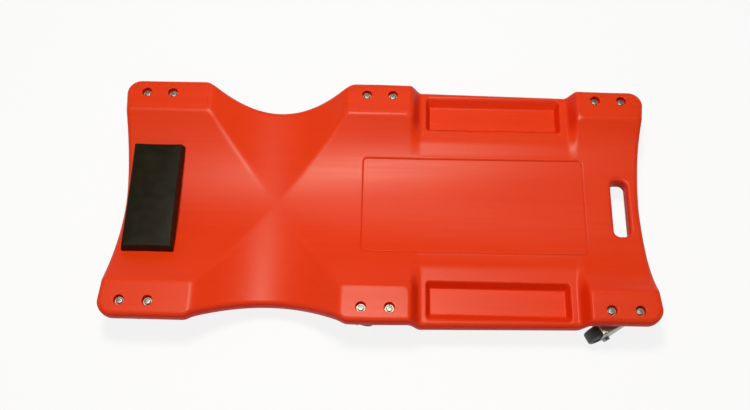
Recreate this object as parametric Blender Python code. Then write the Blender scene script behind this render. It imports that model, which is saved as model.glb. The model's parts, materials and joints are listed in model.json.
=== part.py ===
"""Mechanic's creeper: a hollow moulded deck with a headrest, tool trays and six swivel casters.

Metres, +Z up. The origin is on the floor under the middle of the deck, +X runs to the foot end
and +Y to the left side. Deck heights are written as drops below the flat tops of the pads.
"""

import math

import bmesh
import bpy
import numpy as np
from mathutils import Matrix, Vector

# Clearances
REST_GAP = 0.0003
RUN_GAP = 0.0003
SWING_GAP = 0.0012
WHEEL_SIDE_GAP = 0.0015
BOLT_HOLE_GAP = 0.0004
COUNTERBORE_GAP = 0.00125
RACE_TO_NUT = 0.0027
CUT_MARGIN = 0.002

# Deck in plan
HALF_LENGTH = 0.508
HEAD_HALF_WIDTH = 0.242
MID_HALF_WIDTH = 0.244
FOOT_HALF_WIDTH = 0.236
CORNER_RADIUS = 0.028
HEAD_END_SAG = 0.0125
FOOT_END_SAG = 0.017
END_SAG_REACH = 0.108
END_SAG_POWER = 1.5
WAIST_DEPTH = 0.042
WAIST_LEAD = 0.012
WAIST_CORNER_EASE = 0.006

# Deck section
DECK_THICKNESS = 0.029
DECK_WALL = 0.0034
TOP_EDGE_RADIUS = 0.009
BOTTOM_EDGE_RADIUS = 0.005
CAVITY_INSET = 0.0065

# Raised pads and the hollows between them
HEAD_PAD_LENGTH = 0.171
WAIST_LENGTH = 0.263
MID_PAD_LENGTH = 0.125
FOOT_PAD_LENGTH = 0.1265
PAD_WIDTH = 0.061
PAD_EDGE_EASE = 0.004
PAD_CORNER = 0.018
PAD_CORNER_SLOPE = 0.62
PAD_CORNER_DEPTH = 0.009
PAD_CORNER_BLEND = 0.0016
TROUGH_HEAD_DEPTH = 0.053
TROUGH_FOOT_DEPTH = 0.0334
TROUGH_HEAD_POWER = 1.95
TROUGH_FOOT_POWER = 4.0
TROUGH_CHANGE_POWER = 1.6
WAIST_EDGE_DROP = 0.0497
RIDGE_EASE = 0.35
PAD_RIDGE_EASE = 0.12
SCOOP_POINT = 0.001

# Side ledges, tool trays and the torso panel
LEDGE_DROP = 0.0295
LEDGE_MID_RAMP = 0.0245
LEDGE_FOOT_RAMP = 0.0215
LEDGE_MARGIN = 0.0235
LEDGE_RUN = 0.0325
TRAY_MID_MARGIN = 0.0085
TRAY_FOOT_MARGIN = 0.011
TRAY_SIDE_MARGIN = 0.0065
TRAY_WIDTH = 0.0735
TRAY_DEPTH = 0.0165
TRAY_END_DRAFT = 0.008
TRAY_INNER_DRAFT = 0.0095
TRAY_OUTER_DRAFT = 0.014
TRAY_CORNER = 0.007
PANEL_LENGTH = 0.425
PANEL_HALF_WIDTH = 0.097
PANEL_DEPTH = 0.0014
PANEL_STEP = 0.002
PANEL_TO_SLOT = 0.053

# Hand slot and blow-pin hole
HANDLE_WIDTH = 0.021
SLOT_WIDTH = 0.030
SLOT_LENGTH = 0.114
SLOT_CORNER = 0.012
BLOW_HOLE_RADIUS = 0.005

# Headrest
HEADREST_FROM_END = 0.0105
HEADREST_LENGTH = 0.100
HEADREST_WIDTH = 0.221
HEADREST_THICKNESS = 0.020
HEADREST_TAPER = 0.0045
HEADREST_CROWN = 0.0018
HEADREST_DRAW = 0.0010
HEADREST_CORNER = 0.006
HEADREST_EDGE = 0.0035
COVER_THICKNESS = 0.0015
BOARD_THICKNESS = 0.006
SCREW_SPREAD = 0.190
SCREW_RADIUS = 0.0020
SCREW_HEAD_RADIUS = 0.0045
SCREW_HEAD_HEIGHT = 0.0026
SCREW_BITE = 0.0045

# Places and rest angles of the casters
HEAD_CASTER_FROM_END = 0.066
MID_CASTER_FROM_LEDGE = 0.059
FOOT_CASTER_FROM_END = 0.068
HEAD_CASTER_FROM_SIDE = 0.028
MID_CASTER_FROM_SIDE = 0.0265
FOOT_CASTER_FROM_SIDE = 0.022
HEAD_SWING_DEG = -24
MID_SWING_DEG = -20
FOOT_SWING_DEG = 28

# Caster pieces
WHEEL_DIAMETER = 0.0635
WHEEL_WIDTH = 0.022
TREAD_EDGE = 0.004
RIM_DEPTH = 0.0075
WEB_RECESS = 0.003
HUB_RADIUS = 0.010
CASTER_TRAIL = 0.032
WHEEL_TO_FORK = 0.009
SHEET = 0.0025
FORK_BEND = 0.003
FORK_BOSS_RADIUS = 0.0105
FORK_FRONT = 0.016
FORK_REAR = 0.014
FORK_SHOULDER = 0.006
BALL_DIAMETER = 0.0044
BALL_CIRCLE = 0.0125
RACE_LIP = 0.0023
KINGPIN_RADIUS = 0.005
KINGPIN_HEAD_RADIUS = 0.0085
KINGPIN_HEAD_HEIGHT = 0.003
AXLE_RADIUS = 0.004
AXLE_HEAD_RADIUS = 0.0072
AXLE_HEAD_HEIGHT = 0.0045
AXLE_NUT_HEIGHT = 0.0055
AXLE_END = 0.0015
PLATE_END_MARGIN = 0.0105
PLATE_WIDTH = 0.034

# Bolts that hold the caster plates
BOLT_RADIUS = 0.003
BOLT_HEAD_RADIUS = 0.006
BOLT_HEAD_HEIGHT = 0.0036
BOLT_HEAD_EDGE = 0.0016
WASHER_RADIUS = 0.008
WASHER_THICKNESS = 0.0016
BOLT_NUT_RADIUS = 0.0058
BOLT_NUT_HEIGHT = 0.005
BOLT_END = 0.0015
COUNTERBORE_DEPTH = 0.0115
POST_WALL = 0.0075

# Facets of round pieces and of the deck
ROUND_STEPS = 10
WHEEL_STEPS = 24
RING_TUBE_STEPS = 6
CORNER_STEPS = 3
EDGE_STEPS = 2
HOLLOW_STEPS = 4
CAVITY_STEPS = 3
CAVITY_TURN_STEPS = 2
HEADREST_SIDE_STEPS = 4
CROWN_SHARES = (0.3, 0.7)
BOSS_START_DEG = 195
BOSS_SWEEP_DEG = 150
BOSS_STEPS = 4
SHARP_EDGE_DEG = 35
SOFT_EDGE_DEG = 45
FLAT_CELL = 0.00001
LONG_FACET = 0.090
CAVITY_FACET = 0.110

# Places along the deck, head end to foot end
HEAD_PAD_EDGE = -HALF_LENGTH + HEAD_PAD_LENGTH
MID_PAD_HEAD_EDGE = HEAD_PAD_EDGE + WAIST_LENGTH
MID_PAD_FOOT_EDGE = MID_PAD_HEAD_EDGE + MID_PAD_LENGTH
FOOT_PAD_EDGE = HALF_LENGTH - FOOT_PAD_LENGTH
LEDGE_START = MID_PAD_FOOT_EDGE + LEDGE_MID_RAMP
LEDGE_END = FOOT_PAD_EDGE - LEDGE_FOOT_RAMP
TRAY_START = LEDGE_START + TRAY_MID_MARGIN
TRAY_END = LEDGE_END - TRAY_FOOT_MARGIN
SLOT_X = HALF_LENGTH - FOOT_END_SAG - HANDLE_WIDTH - SLOT_WIDTH / 2
PANEL_END = SLOT_X - SLOT_WIDTH / 2 - PANEL_TO_SLOT
PANEL_START = PANEL_END - PANEL_LENGTH
BLOW_HOLE_X = (PANEL_START + PANEL_END) / 2
WAIST_X = (HEAD_PAD_EDGE + MID_PAD_HEAD_EDGE) / 2
HEADREST_X = -HALF_LENGTH + HEAD_END_SAG + HEADREST_FROM_END + HEADREST_LENGTH / 2

# Places across the deck, from its middle out
PAD_INNER = min(HEAD_HALF_WIDTH, MID_HALF_WIDTH, FOOT_HALF_WIDTH) - PAD_WIDTH
TRAY_OUTER = FOOT_HALF_WIDTH - TRAY_SIDE_MARGIN
TRAY_INNER = TRAY_OUTER - TRAY_WIDTH
LEDGE_INNER = TRAY_INNER - LEDGE_MARGIN

# Heights of the stack of pieces, floor to pads
AXLE_Z = WHEEL_DIAMETER / 2 * math.cos(math.pi / WHEEL_STEPS)
FORK_UNDER = AXLE_Z + WHEEL_DIAMETER / 2 + WHEEL_TO_FORK
FORK_TOP = FORK_UNDER + SHEET
PLATE_UNDER = FORK_TOP + SWING_GAP + BOLT_END + BOLT_NUT_HEIGHT + REST_GAP
RACE_HEIGHT = (PLATE_UNDER - FORK_TOP - BALL_DIAMETER - 2 * RUN_GAP) / 2
PLATE_TOP = PLATE_UNDER + SHEET
SEAT_Z = PLATE_TOP + REST_GAP
PAD_Z = SEAT_Z + DECK_THICKNESS
LOWEST_Z = SEAT_Z - TROUGH_HEAD_DEPTH

# Sizes of the pieces that fit each other
FORK_INNER = WHEEL_WIDTH / 2 + WHEEL_SIDE_GAP
FORK_OUTER = FORK_INNER + SHEET
RACE_RADIUS = BALL_CIRCLE + BALL_DIAMETER / 2 + RACE_LIP
BOLT_SPACING = 2 * (RACE_RADIUS + RACE_TO_NUT + BOLT_NUT_RADIUS)
BOLT_HOLE_RADIUS = BOLT_RADIUS + BOLT_HOLE_GAP
COUNTERBORE_RADIUS = WASHER_RADIUS + COUNTERBORE_GAP
PLATE_LENGTH = BOLT_SPACING + 2 * PLATE_END_MARGIN
HEAD_CASTER_X = -HALF_LENGTH + HEAD_CASTER_FROM_END
MID_CASTER_X = MID_PAD_FOOT_EDGE - MID_CASTER_FROM_LEDGE
FOOT_CASTER_X = HALF_LENGTH - FOOT_CASTER_FROM_END

CASTERS = (
    ("head", HEAD_CASTER_X, HEAD_HALF_WIDTH - HEAD_CASTER_FROM_SIDE, HEAD_SWING_DEG),
    ("mid", MID_CASTER_X, MID_HALF_WIDTH - MID_CASTER_FROM_SIDE, MID_SWING_DEG),
    ("foot", FOOT_CASTER_X, FOOT_HALF_WIDTH - FOOT_CASTER_FROM_SIDE, FOOT_SWING_DEG),
)
SIDES = (("left", 1), ("right", -1))

# Colour, roughness and metallic value of each finish
FINISHES = {
    "red_polyethylene": ((0.76, 0.060, 0.022), 0.42, 0.0),
    "black_vinyl": ((0.016, 0.015, 0.014), 0.38, 0.0),
    "grey_foam": ((0.30, 0.30, 0.29), 0.95, 0.0),
    "hardboard": ((0.24, 0.15, 0.08), 0.80, 0.0),
    "zinc_plate": ((0.55, 0.54, 0.50), 0.34, 1.0),
    "bright_zinc": ((0.72, 0.71, 0.68), 0.24, 1.0),
    "bearing_steel": ((0.60, 0.60, 0.60), 0.20, 1.0),
    "black_wheel": ((0.022, 0.022, 0.022), 0.55, 0.0),
}


# Small tools


def clear_scene():
    for old in list(bpy.data.objects):
        bpy.data.objects.remove(old, do_unlink=True)


def finish(name):
    """The named material, made the first time it is asked for."""
    material = bpy.data.materials.get(name)
    if material:
        return material
    colour, roughness, metallic = FINISHES[name]
    material = bpy.data.materials.new(name)
    material.use_nodes = True
    shader = material.node_tree.nodes["Principled BSDF"]
    shader.inputs["Base Color"].default_value = (*colour, 1)
    shader.inputs["Roughness"].default_value = roughness
    shader.inputs["Metallic"].default_value = metallic
    material.diffuse_color = (*colour, 1)
    return material


def to_mesh(bm, name, smooth_deg=SHARP_EDGE_DEG):
    bmesh.ops.recalc_face_normals(bm, faces=bm.faces)
    mesh = bpy.data.meshes.new(name)
    bm.to_mesh(mesh)
    bm.free()
    mesh.shade_smooth()
    mesh.set_sharp_from_angle(angle=math.radians(smooth_deg))
    return mesh


def place(name, mesh, finish_name, parent=None, location=(0, 0, 0)):
    """A visible piece with its material, standing at its place under its parent."""
    piece = bpy.data.objects.new(name, mesh)
    bpy.context.scene.collection.objects.link(piece)
    if not mesh.materials:
        mesh.materials.append(finish(finish_name))
    piece.parent = parent
    piece.location = location
    return piece


def helper(name, mesh):
    """A cutter: seen in the viewport as wire and never rendered."""
    cutter = bpy.data.objects.new(name, mesh)
    bpy.context.scene.collection.objects.link(cutter)
    cutter.hide_render = True
    cutter.display_type = "WIRE"
    return cutter


def empty(name, location, turn=0.0, parent=None):
    marker = bpy.data.objects.new(name, None)
    bpy.context.scene.collection.objects.link(marker)
    marker.empty_display_size = HUB_RADIUS
    marker.parent = parent
    marker.location = location
    marker.rotation_euler = (0, 0, turn)
    return marker


def boolean(piece, other, operation):
    modifier = piece.modifiers.new(f"{operation.lower()} {other.name}", "BOOLEAN")
    modifier.operation = operation
    modifier.solver = "EXACT"
    modifier.object = other


def shaped(name, base, steps, smooth_deg=SHARP_EDGE_DEG):
    """The mesh left after Boolean steps, each an operation and the mesh that it uses."""
    body = helper(f"{name}_base", base)
    others = [helper(f"{name}_tool_{count}", mesh) for count, (_, mesh) in enumerate(steps)]
    for (operation, _), other in zip(steps, others):
        boolean(body, other, operation)
    graph = bpy.context.evaluated_depsgraph_get()
    result = bpy.data.meshes.new_from_object(body.evaluated_get(graph))
    for used in [body, *others]:
        bpy.data.objects.remove(used, do_unlink=True)
    result.name = name
    result.shade_smooth()
    result.set_sharp_from_angle(angle=math.radians(smooth_deg))
    return result


def add_turned(bm, profile, steps, centre=(0, 0)):
    """A profile of (radius, z) points spun about an upright axis, ending on it or closing on itself."""
    points = [bm.verts.new((centre[0] + radius, centre[1], z)) for radius, z in profile]
    edges = [bm.edges.new(pair) for pair in zip(points, points[1:])]
    if min(profile[0][0], profile[-1][0]) > 0:
        edges.append(bm.edges.new((points[-1], points[0])))
    bmesh.ops.spin(
        bm,
        geom=points + edges,
        cent=(centre[0], centre[1], 0),
        axis=(0, 0, 1),
        angle=2 * math.pi,
        steps=steps,
        use_merge=True,
    )
    bmesh.ops.remove_doubles(bm, verts=bm.verts, dist=1e-6)


def turned(name, profile, steps=ROUND_STEPS):
    bm = bmesh.new()
    add_turned(bm, profile, steps)
    return to_mesh(bm, name)


def add_prism(bm, outline, low, high):
    """An outline of (x, y) points raised from the low to the high level."""
    face = bm.faces.new([bm.verts.new((x, y, low)) for x, y in outline])
    raised = bmesh.ops.extrude_face_region(bm, geom=[face])
    top = [found for found in raised["geom"] if isinstance(found, bmesh.types.BMVert)]
    bmesh.ops.translate(bm, verts=top, vec=(0, 0, high - low))


def prism(name, outline, low, high):
    bm = bmesh.new()
    add_prism(bm, outline, low, high)
    return to_mesh(bm, name)


def add_loft(bm, rings):
    """Rings of equally many points bridged in order, the first and last closed by a face."""
    rows = [[bm.verts.new(point) for point in ring] for ring in rings]
    for lower, upper in zip(rows, rows[1:]):
        for this in range(len(lower)):
            after = (this + 1) % len(lower)
            bm.faces.new((lower[this], lower[after], upper[after], upper[this]))
    bm.faces.new(rows[0][::-1])
    bm.faces.new(rows[-1])


def loft(name, rings):
    bm = bmesh.new()
    add_loft(bm, rings)
    return to_mesh(bm, name, SOFT_EDGE_DEG)


def cylinder(radius, low, high):
    """The profile of a plain cylinder, for spinning."""
    return [(0, high), (radius, high), (radius, low), (0, low)]


def circle(radius, steps, phase=0.0):
    angles = [phase + 2 * math.pi * step / steps for step in range(steps)]
    return [(radius * math.cos(angle), radius * math.sin(angle)) for angle in angles]


def rounded_rectangle(low, high, corner, steps=CORNER_STEPS):
    """The outline between two opposite corners, counter-clockwise, with its corners rounded."""
    middles = (
        (high[0] - corner, high[1] - corner, 0),
        (low[0] + corner, high[1] - corner, 90),
        (low[0] + corner, low[1] + corner, 180),
        (high[0] - corner, low[1] + corner, 270),
    )
    outline = []
    for x, y, start in middles:
        for step in range(steps + 1):
            angle = math.radians(start + 90 * step / steps)
            outline.append((x + corner * math.cos(angle), y + corner * math.sin(angle)))
    return outline


# Deck shape


def eased(distance, ease):
    """Nothing before -ease, the distance itself after +ease, and a parabola between."""
    inside = np.clip((distance + ease) / (2 * ease), 0, 1)
    return np.where(distance > ease, distance, ease * inside**2)


def smooth(share):
    share = np.clip(share, 0, 1)
    return share * share * (3 - 2 * share)


def trough_drop(x, aside):
    """The long hollow between the pads: a round dish at the head end, shallower and flatter to the foot."""
    start = HEADREST_X + HEADREST_LENGTH / 2
    change = np.clip((x - start) / (HALF_LENGTH - start), 0, 1) ** TROUGH_CHANGE_POWER
    depth = TROUGH_HEAD_DEPTH + (TROUGH_FOOT_DEPTH - TROUGH_HEAD_DEPTH) * change
    power = TROUGH_HEAD_POWER + (TROUGH_FOOT_POWER - TROUGH_HEAD_POWER) * change
    outward = np.clip(1 - eased(PAD_INNER - aside, PAD_EDGE_EASE) / PAD_INNER, 0, 1)
    return depth * (1 - outward**power)


def half_width(x):
    """Half the deck's width at x, drawn in along an arc at the waist."""
    places = (HEAD_CASTER_X, MID_CASTER_X, FOOT_CASTER_X)
    sides = np.interp(x, places, (HEAD_HALF_WIDTH, MID_HALF_WIDTH, FOOT_HALF_WIDTH))
    reach = WAIST_LENGTH / 2 + WAIST_LEAD
    inside = eased(reach - np.abs(x - WAIST_X), WAIST_CORNER_EASE)
    return sides - WAIST_DEPTH * (1 - (1 - inside / reach) ** 2)


def corner_drop(x, aside):
    """The fall away from each pad's outline, whose inner corners are rounded in plan."""
    beside_mid = np.maximum(MID_PAD_HEAD_EDGE - x, x - MID_PAD_FOOT_EDGE)
    beside_ends = np.minimum(x - HEAD_PAD_EDGE, FOOT_PAD_EDGE - x)
    along = np.clip(np.minimum(beside_mid, beside_ends) + PAD_CORNER, 0, None)
    across = np.clip(PAD_INNER - aside + PAD_CORNER, 0, None)
    outside = eased(np.hypot(along, across) - PAD_CORNER, PAD_EDGE_EASE)
    return PAD_CORNER_DEPTH * (1 - np.exp(-PAD_CORNER_SLOPE * outside / PAD_CORNER_DEPTH))


def deck_drop(x, y):
    """How far the deck's top lies below the pads, without trays, panel and edge rounding."""
    aside = np.abs(y)
    trough = trough_drop(x, aside)
    # The waist is a scoop on each side that starts at a point in the middle and widens outward.
    widened = np.clip(aside / PAD_INNER, SCOOP_POINT, 1)
    ease = RIDGE_EASE + (PAD_RIDGE_EASE - RIDGE_EASE) * widened
    scoop = eased(1 - ((x - WAIST_X) / (WAIST_LENGTH / 2 * widened)) ** 2, ease)
    middle_drop = trough_drop(WAIST_X, 0.0)
    scoop_drop = middle_drop + (WAIST_EDGE_DROP - middle_drop) * (aside / half_width(WAIST_X)) ** 2
    hollow = trough + (scoop_drop - trough) * scoop
    slope = smooth((LEDGE_INNER - aside) / LEDGE_RUN)
    foot_of_slope = trough_drop(x, np.minimum(aside, LEDGE_INNER - LEDGE_RUN))
    ledge = LEDGE_DROP + (foot_of_slope - LEDGE_DROP) * slope
    bay = smooth((x - MID_PAD_FOOT_EDGE) / LEDGE_MID_RAMP)
    bay = bay * smooth((FOOT_PAD_EDGE - x) / LEDGE_FOOT_RAMP)
    drop = hollow + (ledge - hollow) * bay
    return drop + eased(corner_drop(x, aside) - drop - PAD_CORNER_BLEND, PAD_CORNER_BLEND)


def panel_drop(x, y):
    """The shallow panel pressed into the torso section, with a narrow step round it."""
    along = min(x - PANEL_START, PANEL_END - x)
    inside = min(along, PANEL_HALF_WIDTH - abs(y))
    return PANEL_DEPTH * min(1.0, max(0.0, inside / PANEL_STEP))


def top_drop(x, y):
    return float(deck_drop(x, y)) + panel_drop(x, y)


def filled(marks, longest):
    """Sorted marks with evenly spread lines added, so that no gap is longer than asked."""
    marks = sorted(marks)
    lines = [marks[0]]
    for start, end in zip(marks, marks[1:]):
        count = max(1, math.ceil((end - start) / longest))
        lines += [start + (end - start) * step / count for step in range(1, count + 1)]
    return lines


def hollow_shares(steps):
    """Lines across a hollow, as shares of the way from its middle line to the edge of its pads."""
    shoulder = 1 - PAD_EDGE_EASE / PAD_INNER
    return [shoulder * step / steps for step in range(steps + 1)]


def deck_stations(longest, hollow_steps, turn_steps, panel_ends):
    """(x, turn) of each line across the deck. Turn is the angle round the corners at the two ends."""
    start = HALF_LENGTH - CORNER_RADIUS
    marks = [-start, start, LEDGE_START, LEDGE_END, MID_PAD_FOOT_EDGE, FOOT_PAD_EDGE]
    marks += [(MID_PAD_FOOT_EDGE + LEDGE_START) / 2, (FOOT_PAD_EDGE + LEDGE_END) / 2]
    marks += [HEAD_PAD_EDGE - PAD_CORNER, MID_PAD_HEAD_EDGE + PAD_CORNER]
    marks += [MID_PAD_FOOT_EDGE - PAD_CORNER, FOOT_PAD_EDGE + PAD_CORNER]
    marks += panel_ends
    for share in hollow_shares(hollow_steps) + [math.sqrt(1 + PAD_RIDGE_EASE)]:
        marks += {WAIST_X - share * WAIST_LENGTH / 2, WAIST_X + share * WAIST_LENGTH / 2}
    turns = [math.pi / 2 * step / turn_steps for step in range(1, turn_steps + 1)]
    head = [(-start, turn) for turn in reversed(turns)]
    foot = [(start, turn) for turn in turns]
    return head + [(x, 0.0) for x in filled(marks, longest)] + foot


def deck_lines(longest, hollow_steps, panel_sides):
    """Places of the lines along the deck, from the right side to the left."""
    marks = [HEADREST_WIDTH / 2, LEDGE_INNER, PAD_INNER + PAD_EDGE_EASE, PAD_INNER + PAD_CORNER]
    marks += panel_sides
    marks += [share * PAD_INNER for share in hollow_shares(hollow_steps)]
    half = filled(marks, longest) + [MID_HALF_WIDTH]
    return [-y for y in reversed(half[1:])] + half


def plan_point(station, line, inset):
    """Where a station and a line cross in plan, on a deck whose outline is drawn in by the inset."""
    x, turn = station
    end = math.copysign(1, x)
    half = float(half_width(x)) - inset
    if turn:
        radius = CORNER_RADIUS - inset
        half += radius * (math.cos(turn) - 1)
        x = end * (HALF_LENGTH - CORNER_RADIUS + radius * math.sin(turn))
    straight = PAD_INNER + PAD_EDGE_EASE
    beyond = max(0.0, abs(line) - straight) / (MID_HALF_WIDTH - straight)
    aside = min(abs(line), straight) + beyond * (half - straight)
    reach = max(0.0, abs(x) - HALF_LENGTH + END_SAG_REACH) / (END_SAG_REACH - inset)
    across = aside / (float(half_width(end * HALF_LENGTH)) - CORNER_RADIUS)
    deepest = HEAD_END_SAG if end < 0 else FOOT_END_SAG
    sag = deepest * max(0.0, 1 - across**END_SAG_POWER) * reach**END_SAG_POWER
    return x - end * sag, math.copysign(aside, line)


def rim_of(rows, columns):
    """Grid places round the edge of the deck, counter-clockwise seen from above."""
    near = [(row, 0) for row in range(rows)]
    foot = [(rows - 1, column) for column in range(1, columns)]
    far = [(row, columns - 1) for row in range(rows - 2, -1, -1)]
    head = [(0, column) for column in range(columns - 2, 0, -1)]
    return near + foot + far + head


def edge_rows():
    """(share of the way out, height, whether it is counted up from the bottom) round the deck's edge."""
    rows = []
    for step in range(1, EDGE_STEPS + 1):
        angle = math.pi / 2 * step / EDGE_STEPS
        rows.append((math.sin(angle), TOP_EDGE_RADIUS * (math.cos(angle) - 1), False))
    rows.append((1.0, BOTTOM_EDGE_RADIUS, True))
    rows.append((1 - BOTTOM_EDGE_RADIUS / TOP_EDGE_RADIUS, 0.0, True))
    return rows


def split_cell(points):
    """Corners of one or two faces for a grid cell: a bent cell is split along its truer diagonal."""
    heights = [point.z for point in points]
    if max(heights) - min(heights) < FLAT_CELL:
        return [(0, 1, 2, 3)]
    middle = sum(points, Vector()) / 4
    pad_z = heights[0] + top_drop(points[0].x, points[0].y)
    true_z = pad_z - top_drop(middle.x, middle.y)
    if abs((heights[0] + heights[2]) / 2 - true_z) < abs((heights[1] + heights[3]) / 2 - true_z):
        return [(0, 1, 2), (0, 2, 3)]
    return [(0, 1, 3), (1, 2, 3)]


def deck_body(name, stations, lines, inset, skin, rows):
    """The space between the deck's top and bottom, both drawn in by the skin, inside the inset outline."""
    bm = bmesh.new()
    top, low_z = [], []
    for station in stations:
        points = [plan_point(station, line, inset) for line in lines]
        top.append([bm.verts.new((x, y, PAD_Z - top_drop(x, y) - skin)) for x, y in points])
        low_z.append([SEAT_Z - float(deck_drop(x, y)) + skin for x, y in points])
    rim = rim_of(len(stations), len(lines))
    loops = [[top[row][column] for row, column in rim]]
    for share, rise, from_bottom in rows:
        loop = []
        for row, column in rim:
            inner = top[row][column].co
            outer = Vector((*plan_point(stations[row], lines[column], 0.0), inner.z))
            point = inner.lerp(outer, share)
            point.z = rise + (low_z[row][column] if from_bottom else inner.z)
            loop.append(bm.verts.new(point))
        loops.append(loop)
    bottom = dict(zip(rim, loops[-1]))
    for row in range(1, len(stations) - 1):
        for column in range(1, len(lines) - 1):
            x, y, _ = top[row][column].co
            bottom[row, column] = bm.verts.new((x, y, low_z[row][column]))
    for upper, lower in zip(loops, loops[1:]):
        for this in range(len(rim)):
            after = (this + 1) % len(rim)
            bm.faces.new((upper[this], lower[this], lower[after], upper[after]))
    for row in range(len(stations) - 1):
        for column in range(len(lines) - 1):
            around = ((row, column), (row + 1, column), (row + 1, column + 1), (row, column + 1))
            for corners in split_cell([top[at][side].co for at, side in around]):
                face = [around[corner] for corner in corners]
                bm.faces.new([top[at][side] for at, side in face])
                bm.faces.new([bottom[place] for place in reversed(face)])
    return to_mesh(bm, name, SOFT_EDGE_DEG)


def bolt_places():
    """(x, y) of the twelve caster bolts."""
    return [
        (x + along * BOLT_SPACING / 2, side * y)
        for _, x, y, _ in CASTERS
        for _, side in SIDES
        for along in (-1, 1)
    ]


def screw_places():
    return [(HEADREST_X, side * SCREW_SPREAD / 2) for _, side in SIDES]


def screw_seat(x, y):
    """Height of the flat inside the deck's bottom that a headrest screw's head bears on."""
    return SEAT_Z - float(deck_drop(x, y)) + SCREW_HEAD_HEIGHT + DECK_WALL


def slot_outline(wall):
    half_x, half_y = SLOT_WIDTH / 2 + wall, SLOT_LENGTH / 2 + wall
    return rounded_rectangle((SLOT_X - half_x, -half_y), (SLOT_X + half_x, half_y), SLOT_CORNER + wall)


def mirrored(outline, side):
    """The outline on the left side, or its mirror image on the right, still counter-clockwise."""
    return [(x, side * y) for x, y in outline][::side]


def deck_blocks():
    """What stays solid in the hollow deck: round the trays and the slot, and posts at bolts and screws."""
    bm = bmesh.new()
    low, high = LOWEST_Z - DECK_THICKNESS, PAD_Z + CUT_MARGIN
    tray_low = PAD_Z - LEDGE_DROP - TRAY_DEPTH - DECK_WALL
    corners = (TRAY_START - DECK_WALL, TRAY_INNER - DECK_WALL), (TRAY_END + DECK_WALL, MID_HALF_WIDTH)
    for _, side in SIDES:
        add_prism(bm, mirrored(rounded_rectangle(*corners, TRAY_CORNER), side), tray_low, high)
    add_prism(bm, slot_outline(DECK_WALL), low, high)
    for spot in bolt_places():
        add_turned(bm, cylinder(COUNTERBORE_RADIUS + POST_WALL, low, high), ROUND_STEPS, spot)
    for spot in screw_places():
        add_turned(bm, cylinder(SCREW_HEAD_RADIUS + POST_WALL, low, high), ROUND_STEPS, spot)
    return to_mesh(bm, "deck_blocks")


def tray_rings(side):
    """The tray's floor outline, and the outline of its drafted walls a little above the rim."""
    rim_z = PAD_Z - LEDGE_DROP
    rings = []
    for z, draft in ((rim_z - TRAY_DEPTH, 1.0), (rim_z + CUT_MARGIN, -CUT_MARGIN / TRAY_DEPTH)):
        low = (TRAY_START + draft * TRAY_END_DRAFT, TRAY_INNER + draft * TRAY_INNER_DRAFT)
        high = (TRAY_END - draft * TRAY_END_DRAFT, TRAY_OUTER - draft * TRAY_OUTER_DRAFT)
        outline = mirrored(rounded_rectangle(low, high, TRAY_CORNER), side)
        rings.append([(x, y, z) for x, y in outline])
    return rings


def deck_cuts():
    """Trays, hand slot, blow-pin hole and the stepped holes for bolts and screws."""
    bm = bmesh.new()
    low, high = LOWEST_Z - CUT_MARGIN, PAD_Z + CUT_MARGIN
    for _, side in SIDES:
        add_loft(bm, tray_rings(side))
    add_prism(bm, slot_outline(0.0), low, high)
    vent_top = SEAT_Z - float(deck_drop(BLOW_HOLE_X, 0)) + 2 * DECK_WALL
    add_turned(bm, cylinder(BLOW_HOLE_RADIUS, low, vent_top), ROUND_STEPS, (BLOW_HOLE_X, 0))
    step = PAD_Z - COUNTERBORE_DEPTH
    hole = [(0, high), (COUNTERBORE_RADIUS, high), (COUNTERBORE_RADIUS, step)]
    hole += [(BOLT_HOLE_RADIUS, step), (BOLT_HOLE_RADIUS, low), (0, low)]
    for spot in bolt_places():
        add_turned(bm, hole, ROUND_STEPS, spot)
    wide, narrow = SCREW_HEAD_RADIUS + BOLT_HOLE_GAP, SCREW_RADIUS + BOLT_HOLE_GAP
    for x, y in screw_places():
        seat = screw_seat(x, y)
        bore = [(0, high), (narrow, high), (narrow, seat), (wide, seat), (wide, low), (0, low)]
        add_turned(bm, bore, ROUND_STEPS, (x, y))
    return to_mesh(bm, "deck_cuts")


def make_deck():
    """The outer skin, less the hollow inside it, less the trays and holes."""
    panel_ends = [PANEL_START, PANEL_START + PANEL_STEP, PANEL_END - PANEL_STEP, PANEL_END]
    panel_sides = [PANEL_HALF_WIDTH - PANEL_STEP, PANEL_HALF_WIDTH]
    stations = deck_stations(LONG_FACET, HOLLOW_STEPS, CORNER_STEPS, panel_ends)
    lines = deck_lines(LONG_FACET, HOLLOW_STEPS, panel_sides)
    skin = deck_body("deck", stations, lines, TOP_EDGE_RADIUS, 0.0, edge_rows())
    deck = place("deck", skin, "red_polyethylene")
    stations = deck_stations(CAVITY_FACET, CAVITY_STEPS, CAVITY_TURN_STEPS, [])
    lines = deck_lines(CAVITY_FACET, CAVITY_STEPS, [])
    straight_sides = [(0.0, 0.0, True)]
    hollow = deck_body("deck_cavity", stations, lines, CAVITY_INSET, DECK_WALL, straight_sides)
    cavity = helper("deck_cavity", hollow)
    boolean(cavity, helper("deck_blocks", deck_blocks()), "DIFFERENCE")
    boolean(deck, cavity, "DIFFERENCE")
    boolean(deck, helper("deck_cuts", deck_cuts()), "DIFFERENCE")


# Headrest


def headrest_base():
    """Height of the headrest's underside, which bears on the deck at its two ends."""
    return PAD_Z - float(deck_drop(HEADREST_X, HEADREST_WIDTH / 2)) + REST_GAP


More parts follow.
